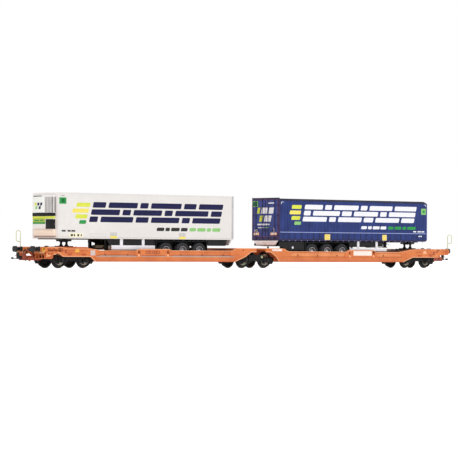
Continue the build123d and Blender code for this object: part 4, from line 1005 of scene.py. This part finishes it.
p = Piece("white_livery")
for sy in (-1, 1):
    # three tiers of slanted bars beside a stepped accent
    for k, z0a, z1a, runs in (
            ("print_navy", 40.5, 44.3, ((-149.5, -138.5), (-136.0, -111.0), (-108.5, -101.5), (-99.0, -72.0), (-69.5, -58.5), (-56.0, -34.0))),
            ("print_navy", 35.6, 39.4, ((-151.0, -126.5), (-124.0, -117.0), (-114.5, -89.5), (-87.0, -80.0), (-77.5, -47.5), (-45.0, -35.2))),
            ("print_navy", 30.7, 34.5, ((-152.5, -145.5), (-143.0, -115.0), (-112.5, -101.5), (-99.0, -74.0), (-71.5, -64.5), (-62.0, -36.6))),
            ("lime", 40.9, 43.7, ((-163.6, -151.9),)),
            ("yellow", 36.9, 39.7, ((-167.0, -153.2),)),
            ("lime", 33.0, 35.8, ((-164.4, -154.4),)),
            ("green", 29.4, 31.9, ((-161.2, -155.4),)),
            ("print_black", 25.1, 27.5, ((-94.0, -87.4), (-86.2, -82.4), (-81.2, -73.6), (-72.4, -66.4))),
            ("mint", 25.1, 27.5, ((-64.6, -58.8), (-57.6, -50.0), (-48.8, -45.0), (-43.8, -36.4)))):
        for x0, x1 in runs:
            p.decal(sy, flat, bar(x0, x1, z0a, z1a), k)
    # green square with a darker middle and a small cap, short bars, a pale strip
    p.decal(sy, flat, bar(-178.0, -172.1, 42.7, 47.0, 0.0, 0.3), "green")
    p.decal(sy, flat, bar(-176.2, -173.6, 43.6, 46.2, 0.0, 0.3), "deep_green", 0.06)
    p.decal(sy, flat, plain(-176.4, -173.8, 48.0, 48.3), "dark_grey")
    for a, b in ((-175.8, -172.6), (-171.0, -168.4), (-167.8, -164.6)):
        p.decal(sy, flat, plain(a, b, 24.0, 25.1), "print_black")
    p.decal(sy, flat, plain(-169.4, -158.2, 20.5, 22.9), "ivory")
    for a, b in ((-168.4, -166.4), (-165.8, -164.6), (-162.8, -161.2), (-159.9, -159.0)):
        p.decal(sy, flat, plain(a, b, 21.0, 22.4), "print_black", 0.06)
    # lifting marks: upright grey bars over a yellow block
    for x in (-134.6, -74.0):
        for i in range(5):
            p.decal(sy, flat, plain(x + i * 1.2, x + i * 1.2 + 0.75, 21.2, 23.9), "silver_print")
        p.decal(sy, flat, plain(x, x + 5.6, 19.75, 21.3), "yellow", 0.19)
p.done("white_trailer")

# rear doors: leaves' seals, hinges, lock rods, handles, blank plates
def door_gear(p, name, rear, out, z0, z1, steel, seal, hinge):
    for sy in (-1, 1):
        p.box(rear - out * 0.05, rear + out * 0.12, sy * 0.25, sy * 0.55, z0 + 1.8, z1 - 1.2, seal, 0.03)
        p.box(rear - out * 0.05, rear + out * 0.12, sy * 13.35, sy * 13.65, z0 + 1.8, z1 - 1.2, seal, 0.03)
        for y in (3.2, 10.2):
            p.rod("z", (rear + out * 0.45, sy * y), 0.2, z0 + 1.0, z1 - 0.6, steel, 12)
            for z in (z0 + 1.3, z0 + 9.0, z0 + 17.0, z0 + 25.0, z1 - 1.0):
                p.box(rear - out * 0.02, rear + out * 0.62, sy * (y - 0.45), sy * (y + 0.45), z - 0.3, z + 0.3, steel, 0.07)
            p.box(rear + out * 0.3, rear + out * 0.62, sy * (y - 2.4), sy * (y + 0.1), z0 + 7.4, z0 + 7.8, steel, 0.06)
            p.box(rear - out * 0.02, rear + out * 0.4, sy * (y - 2.4), sy * (y - 1.7), z0 + 7.0, z0 + 8.2, steel, 0.06)
        for z in (z0 + 3.6, z0 + 10.8, z0 + 18.2, z0 + 25.6):
            p.box(rear - out * 0.02, rear + out * 0.28, sy * 11.9, sy * 14.3, z - 0.35, z + 0.35, hinge, 0.06)
            p.rod("z", (rear + out * 0.2, sy * 13.95), 0.28, z - 0.6, z + 0.6, hinge, 10)


p = Piece("white_door_gear")
door_gear(p, "white", rx, 1, z0, z1, "louvre", "dark_grey", "frame_grey")
p.box(rx - 0.05, rx + 0.2, -13.4, 13.4, z0 + 0.2, z0 + 1.5, "frame_grey", 0.08)
for sy in (-1, 1):
    for q, k in ((9.6, "lens_red"), (11.0, "lens"), (12.2, "lens_red")):
        p.box(rx + 0.1, rx + 0.32, sy * q, sy * (q + 0.9), z0 + 0.5, z0 + 1.2, k, 0.06)
    p.box(rx - 0.05, rx + 0.1, sy * 4.6, sy * 8.6, z0 + 9.6, z0 + 21.0, "lime" if sy > 0 else "print_navy", 0.02)
p.done("white_trailer")

# ------------------------------------------------------------------ white trailer: cooling unit
p = Piece("white_cooler")
ux0, ux1 = -181.0, -178.7
p.box(ux0 + 0.25, ux1, -11.8, 11.8, 25.5, 48.6, "front_white", 0.5, 3)
# lower box in warm beige as painted shade with a painted reflection of the orange wagon
p.box(ux0 + 0.8, ux1, -11.8, 11.8, 21.0, 25.6, "beige", 0.4, 2)
p.box(ux0 + 0.02, ux0 + 0.6, -1.9, 11.3, 36.9, 47.6, "cool_white", 0.25, 2)
p.box(ux0 + 0.18, ux0 + 0.6, -11.5, -2.3, 36.9, 47.5, "louvre_gap", 0.1)
z = 37.3
while z < 47.2:
    p.prism([(ux0 + 0.02, z), (ux0 + 0.45, z + 0.42), (ux0 + 0.6, z + 0.42), (ux0 + 0.6, z + 0.1)], "y", -11.3, -2.5, "louvre", 0.0)
    z += 0.66
for y in (-8.6, -5.4):
    p.box(ux0 + 0.0, ux0 + 0.3, y - 0.1, y + 0.1, 36.9, 47.5, "louvre", 0.04)
p.box(ux0 + 0.0, ux0 + 0.3, -11.35, -10.9, 36.9, 47.5, "dark_grey", 0.04)
p.box(ux0 + 0.0, ux0 + 0.3, -2.75, -2.4, 36.9, 47.5, "louvre_gap", 0.04)
for a, b in ((1.6, 4.2), (4.6, 6.8), (7.2, 10.8)):
    p.box(ux0 + 0.05, ux0 + 0.5, a, b, 47.75, 48.25, "print_black", 0.04)
p.box(ux0 + 0.0, ux1 - 0.3, -11.9, 11.9, 34.4, 36.7, "black", 0.15, 2)
for z in (34.9, 35.5, 36.1):
    p.box(ux0 - 0.0, ux0 + 0.1, -11.2, 11.2, z, z + 0.12, "dark_grey", 0.02)
p.box(ux0 + 0.06, ux1 - 0.5, -11.84, 11.84, 32.7, 34.3, "lime", 0.08)
p.box(ux0 + 0.05, ux0 + 0.5, -2.6, 11.4, 30.3, 33.0, "olive", 0.08)
p.box(ux0 + 0.05, ux0 + 0.5, -2.6, 11.4, 29.2, 30.4, "green", 0.08)
for a, b in ((-0.6, 3.2), (4.4, 9.6)):
    p.box(ux0 + 0.0, ux0 + 0.2, a, b, 31.1, 31.9, "green", 0.03)
p.box(ux0 + 0.0, ux1 - 0.35, -11.88, -3.2, 25.7, 32.4, "black", 0.25, 2)
z = 26.4
while z < 31.9:
    p.box(ux0 - 0.0, ux0 + 0.1, -11.0, -4.0, z, z + 0.14, "dark_grey", 0.02)
    z += 0.62
p.box(ux0 + 0.1, ux0 + 0.4, -2.6, 11.2, 26.0, 28.6, "front_white", 0.12)
# side of the unit: dark upright bars, latch handles
for x0, x1 in ((-180.5, -180.1), (-179.8, -179.45), (-179.2, -178.95)):
    for sy in (-1, 1):
        p.box(x0, x1, sy * 11.75, sy * 11.92, 37.0, 47.4, "louvre_gap" if x1 < -179.5 else "dark_grey", 0.05)
for sy in (-1, 1):
    p.box(-180.3, -179.3, sy * 11.75, sy * 11.95, 28.5, 29.6, "dark_grey", 0.06)
# blank board with a slanted bar in place of a badge, top cap, drain, feet
for a, c, k in ((7.4, 41.6, "lime"), (4.2, 41.6, "print_navy"), (1.0, 41.6, "print_navy"), (6.4, 39.2, "mint"), (2.6, 39.2, "print_navy")):
    p.prism([(a, c), (a + 2.2, c), (a + 1.7, c + 2.0), (a - 0.5, c + 2.0)], "x", ux0 - 0.02, ux0 + 0.2, k, 0.0)
p.box(ux0 + 0.5, ux1, -11.0, 11.0, 48.5, 48.85, "louvre", 0.1)
p.rod("z", (-179.6, 9.5), 0.3, 20.4, 21.2, "dark_grey", 12)
p.box(ux0 + 0.9, ux1 - 0.1, -11.6, 11.6, 20.75, 21.1, "dark_grey", 0.05)
p.done("white_trailer", ("white_cooling_unit",))

# ------------------------------------------------------------------ blue trailer: body
t = T["blue"]
z0, z1, fx, rx = t["z0"], t["z1"], t["front"], t["rear"]
dress("blue_floor", "navy", 0.1)
dress("blue_roof", "roof_blue", 0.1)
dress("blue_front_wall", "door_blue", 0.0)
dress("blue_rear_doors", "door_blue", 0.08)
dress("blue_rear_frame", "navy", 0.1)
folds = [(3.05, 0.060, 0.4), (1.47, 0.022, 1.9), (7.9, 0.035, 2.6)]


swell = [(z0 + 0.9, 0.3), (z0 + 4.4, 0.3), (z0 + 6.4, 1.0), (z1 - 4.2, 1.0), (z1 - 1.2, 0.0)]


def curtain(x, z):
    """Outer face of the curtain: upright folds that fade at the rail and at the hem."""
    up = 0.0 if z > z1 - 1.2 else 0.3
    for (a, u), (b, v) in zip(swell, swell[1:]):
        if a <= z <= b:
            up = u + (v - u) * (z - a) / (b - a)
    return 14.64 + up * sum(a * math.sin(2 * math.pi * x / w + s + 0.10 * math.sin(z * 0.35 + x * 0.07)) for w, a, s in folds)


p = Piece("blue_curtains")
cx0, cx1 = rx + 0.9, fx - 1.5
nx = int((cx1 - cx0) / 0.38)
GRID = (cx0, (cx1 - cx0) / nx)
levels = [z0 + 0.9, z0 + 2.6, z0 + 4.4, z0 + 6.4, z0 + 10.0, z0 + 14.0, z0 + 18.0, z0 + 22.0, z1 - 4.2, z1 - 1.2]
for sy in (-1, 1):
    verts, faces = [], []
    w, h = nx + 1, len(levels)
    for z in levels:
        for i in range(w):
            x = cx0 + (cx1 - cx0) * i / nx
            verts.append((x, sy * curtain(x, z), z))
    for z in levels:
        for i in range(w):
            verts.append((cx0 + (cx1 - cx0) * i / nx, sy * 14.0, z))
    for j in range(h - 1):
        for i in range(nx):
            a = j * w + i
            faces.append([a, a + 1, a + 1 + w, a + w])
            faces.append([w * h + a, w * h + a + w, w * h + a + 1 + w, w * h + a + 1])
    rim = [i for i in range(w)] + [j * w + w - 1 for j in range(1, h)] + [(h - 1) * w + i for i in range(w - 2, -1, -1)] + [j * w for j in range(h - 2, 0, -1)]
    for a, b in zip(rim, rim[1:] + rim[:1]):
        faces.append([a, w * h + a, w * h + b, b])
    p.raw(verts, faces, "curtain")
p.done("blue_trailer", ("blue_side_curtains",), crease=1.2)

p = Piece("blue_straps")
for sy in (-1, 1):
    x = cx0 + 3.2
    while x < cx1 - 1.5:
        p.decal(sy, curtain, plain(x, x + 0.62, z0 + 0.7, z0 + 5.5), "strap", 0.1, GRID)
        p.box(x - 0.12, x + 0.74, sy * 14.6, sy * 14.84, z0 + 1.3, z0 + 1.7, "strap", 0.05)
        p.box(x - 0.1, x + 0.72, sy * 14.3, sy * 14.8, z0 + 0.02, z0 + 0.34, "pale_blue", 0.05)
        p.box(x + 0.05, x + 0.57, sy * 14.6, sy * 14.9, z0 + 4.7, z0 + 5.0, "strap", 0.04)
        p.box(x + 0.1, x + 0.52, sy * 14.2, sy * 14.75, z0 - 0.5, z0 + 0.8, "strap", 0.04)
        p.tube([(x + 0.1, sy * 14.5, z0 - 0.2), (x + 0.1, sy * 14.3, z0 - 0.6), (x + 0.52, sy * 14.3, z0 - 0.6), (x + 0.52, sy * 14.5, z0 - 0.2)], 0.06, "pale_blue", 5, 2, 0.1)
        x += 5.92
    # welded hem line, hem, bottom rail and top rail
    p.decal(sy, curtain, plain(cx0 + 0.4, cx1 - 0.3, 25.15, 25.65), "pale_blue", 0.05, GRID)
    p.decal(sy, curtain, plain(cx0 + 0.1, cx1 - 0.1, z0 + 0.92, z0 + 1.2), "strap", 0.08, GRID)
    p.prism([(cx0, z0), (fx - 2.5, z0), (cx1, z0 + 0.62), (cx1, z0 + 0.85), (cx0, z0 + 0.85)], "y", sy * 14.0, sy * 14.7, "navy", 0.06)
    p.prism([(cx0, z1 - 1.3), (cx1, z1 - 1.45), (cx1, z1 - 1.22), (fx - 4.5, z1 - 0.02), (cx0, z1 - 0.02)], "y", sy * 14.0, sy * 14.86, "rail_blue", 0.08)
    x = cx0 + 2.0
    while x < cx1 - 4.0:
        p.rod("y", (x, z1 - 0.62), 0.13, sy * 14.8, sy * 14.95, "navy", 6)
        x += 2.96
    # tension poles at both ends
    p.rod("z", (cx0 + 0.3, sy * 14.5), 0.32, z0 + 0.8, z1 - 1.2, "navy", 12)
    p.rod("z", (cx1 - 0.3, sy * 14.5), 0.3, z0 + 0.8, z1 - 1.4, "navy", 12)
p.done("blue_trailer")

p = Piece("blue_livery")
for sy in (-1, 1):
    for k, za, zb, runs in (
            ("print_white", 42.2, 45.6, ((44.4, 62.0), (64.4, 71.0), (73.4, 98.0), (100.4, 107.0), (109.4, 133.0), (135.4, 158.2))),
            ("print_white", 37.8, 41.2, ((43.4, 50.0), (52.4, 79.0), (81.4, 91.0), (93.4, 118.0), (120.4, 127.0), (129.4, 157.0))),
            ("print_white", 33.4, 36.8, ((42.4, 66.0), (68.4, 75.0), (77.4, 101.0), (103.4, 113.0), (115.4, 140.0), (142.4, 155.8))),
            ("lime", 42.4, 45.2, ((31.6, 41.0),)),
            ("yellow", 38.4, 41.2, ((29.6, 40.2),)),
            ("lime", 34.4, 37.2, ((31.2, 39.6),)),
            ("mint", 30.8, 33.2, ((34.0, 40.4),)),
            ("print_white", 28.3, 30.5, ((100.8, 106.6), (107.8, 111.6), (112.8, 119.6), (120.8, 126.6))),
            ("green", 28.3, 30.5, ((128.6, 134.2), (135.4, 142.4), (143.6, 147.4), (148.6, 157.4)))):
        for x0, x1 in runs:
            p.decal(sy, curtain, bar(x0, x1, za, zb), k, 0.04, GRID, 2)
    for a, b in ((63.9, 69.3), (122.5, 127.0)):
        p.decal(sy, curtain, bar(a, b, 20.0, 24.2, 0.0, 0.3), "amber", 0.22, GRID)
        for c in (21.0, 22.9):
            p.decal(sy, curtain, plain(a + 1.2, b - 1.2, c, c + 0.35), "gold", 0.25, GRID)
    p.decal(sy, curtain, bar(163.4, 168.6, 39.8, 44.4, 0.0, 0.3), "mint", 0.06, GRID)
    p.decal(sy, curtain, bar(164.8, 167.2, 41.0, 43.2, 0.0, 0.3), "green", 0.09, GRID)
    for a, b, c, e in ((21.2, 23.6, 47.0, 47.3), (21.2, 21.55, 45.6, 47.0), (166.3, 168.4, 47.0, 47.3), (168.05, 168.4, 45.8, 47.0)):
        p.decal(sy, curtain, plain(a, b, c, e), "print_white", 0.07, GRID)
    for a, b in ((155.0, 158.2), (159.6, 163.0), (163.8, 166.8)):
        p.decal(sy, curtain, plain(a, b, 26.4, 27.3), "print_white", 0.06, GRID)
    for a, b in ((160.6, 162.0), (162.6, 164.2)):
        p.decal(sy, curtain, plain(a, b, 22.9, 23.8), "print_white", 0.1, GRID)
p.done("blue_trailer")

p = Piece("blue_door_gear")
door_gear(p, "blue", rx, -1, z0, z1, "navy", "navy", "navy")
for sy in (-1, 1):
    # violet outline of the doors and the side posts
    p.box(rx - 0.14, rx + 0.1, sy * 13.75, sy * 14.1, z0 + 1.7, z1 - 0.5, "violet", 0.04)
    p.box(rx - 0.05, rx + 0.85, sy * 14.55, sy * 14.76, z0 + 0.1, z1 + 0.6, "navy", 0.08)
    # lamps
    y0, y1 = (6.5, 12.3) if sy > 0 else (-12.6, -6.1)
    p.box(rx - 0.3, rx + 0.1, y0 - 0.3, y1 + 0.3, 22.9, 25.3, "violet", 0.1)
    p.box(rx - 0.45, rx, y0, y1, 23.2, 25.0, "lens", 0.15, 2)
    p.box(rx - 0.5, rx, y0 + 1.6, y1 - 1.6, 24.0, 24.95, "print_white", 0.1)
p.box(rx - 0.14, rx + 0.1, -14.0, 14.0, z1 - 0.95, z1 - 0.6, "violet", 0.04)
p.box(rx - 0.14, rx + 0.1, -14.0, 14.0, 21.9, 22.25, "violet", 0.04)
p.box(rx - 0.1, rx + 0.2, -14.3, 14.3, z0 + 0.1, 21.8, "navy", 0.1)
p.box(rx - 0.35, rx + 0.9, -14.66, 14.66, z1 + 0.1, z1 + 0.7, "rail_blue", 0.15, 2)
# square mark, slanted bars, short lines, blank plate
p.box(rx - 0.12, rx, 8.3, 14.2, 43.8, 48.0, "mint", 0.0)
p.box(rx - 0.16, rx, 8.9, 13.6, 44.3, 47.5, "deep_green", 0.0)
for a, b, c, e, k in ((-8.4, -3.4, 38.8, 43.2, "print_white"), (-1.6, 5.0, 38.8, 43.2, "print_white"), (-5.8, 1.6, 33.0, 37.4, "print_white"), (3.4, 6.8, 33.0, 37.4, "lime"), (6.6, 9.2, 38.8, 43.2, "lime")):
    p.prism([(a, c), (b, c), (b - 1.1, e), (a - 1.1, e)], "x", rx - 0.12, rx, k, 0.0)
for a, b, c, e, k in ((-4.6, 8.6, 30.4, 31.5, "print_white"), (2.0, 8.0, 28.3, 28.9, "print_white"), (-4.0, 0.8, 28.3, 28.9, "mint"), (-9.6, -3.0, 46.0, 46.9, "print_white"), (8.2, 11.6, 25.8, 27.4, "plate"), (-10.2, -9.0, 25.6, 28.6, "plate")):
    p.box(rx - 0.12, rx, a, b, c, e, k, 0.0)
p.done("blue_trailer")

p = Piece("blue_roof_bows")
for i in range(1, 13):
    x = cx0 + (fx - 5.0 - cx0) * i / 13.0
    p.box(x - 0.5, x + 0.5, -13.8, 13.8, z1 - 0.05, z1 + 0.1, "roof_blue", 0.08)
for sy in (-1, 1):
    p.box(cx0, fx - 4.6, sy * 13.4, sy * 14.5, z1 - 0.05, z1 + 0.06, "rail_blue", 0.05)
    for x in (24.0, 60.0, 96.0, 132.0, 162.0):
        p.rod("z", (x, sy * 13.0), 0.35, z1 - 0.05, z1 + 0.16, "navy", 12)
# front wall: upright ribs and corner caps
for y in (-10.5, -7.0, -3.5, 0.0, 3.5, 7.0, 10.5):
    p.box(fx - 0.1, fx + 0.1, y - 0.35, y + 0.35, z0 + 2.2, z1 - 2.4, "door_blue", 0.05)
p.box(fx - 0.1, fx + 0.14, -6.0, 6.0, z0 + 2.4, z0 + 4.6, "navy", 0.08)
for y in (-3.6, -1.2, 1.2, 3.6):
    p.rod("x", (y, z0 + 3.5), 0.5, fx + 0.1, fx + 0.5, "iron", 14, 0.06)
p.done("blue_trailer")


# ------------------------------------------------------------------ floor, world, light
def stage():
    me = bpy.data.meshes.new("floor")
    s = 40.0
    me.from_pydata([(-s, -s, 0), (s, -s, 0), (s, s, 0), (-s, s, 0)], [], [(0, 1, 2, 3)])
    floor = bpy.data.objects.new("floor", me)
    bpy.context.scene.collection.objects.link(floor)
    m, nt, bsdf = material("floor")
    bsdf.inputs["Base Color"].default_value = (0.82, 0.82, 0.82, 1)
    bsdf.inputs["Roughness"].default_value = 0.9
    bsdf.inputs["Specular IOR Level"].default_value = 0.1
    bsdf.inputs["Emission Color"].default_value = (1, 1, 1, 1)
    bsdf.inputs["Emission Strength"].default_value = 0.46
    me.materials.append(m)

    world = bpy.data.worlds.new("world")
    bpy.context.scene.world = world
    world.use_nodes = True
    nt = world.node_tree
    back = nt.nodes["Background"]
    back.inputs["Color"].default_value = (1, 1, 1, 1)
    back.inputs["Strength"].default_value = 0.47
    shown = nt.nodes.new("ShaderNodeBackground")
    shown.inputs["Color"].default_value = (1, 1, 1, 1)
    shown.inputs["Strength"].default_value = 1.0
    path = nt.nodes.new("ShaderNodeLightPath")
    mix = nt.nodes.new("ShaderNodeMixShader")
    nt.links.new(path.outputs["Is Camera Ray"], mix.inputs[0])
    nt.links.new(back.outputs[0], mix.inputs[1])
    nt.links.new(shown.outputs[0], mix.inputs[2])
    nt.links.new(mix.outputs[0], nt.nodes["World Output"].inputs[0])

    for name, power, angle, direction in (("key", 1.45, 30.0, (0.52, 0.74, -0.95)), ("fill", 0.4, 60.0, (-0.6, 0.5, -0.5)), ("back", 0.42, 60.0, (0.2, -0.8, -0.7))):
        data = bpy.data.lights.new(name, "SUN")
        data.energy = power
        data.angle = math.radians(angle)
        lamp = bpy.data.objects.new(name, data)
        bpy.context.scene.collection.objects.link(lamp)
        lamp.rotation_mode = "QUATERNION"
        lamp.rotation_quaternion = Vector(direction).to_track_quat("-Z", "Y")
    bpy.context.scene.view_settings.view_transform = "Standard"


stage()
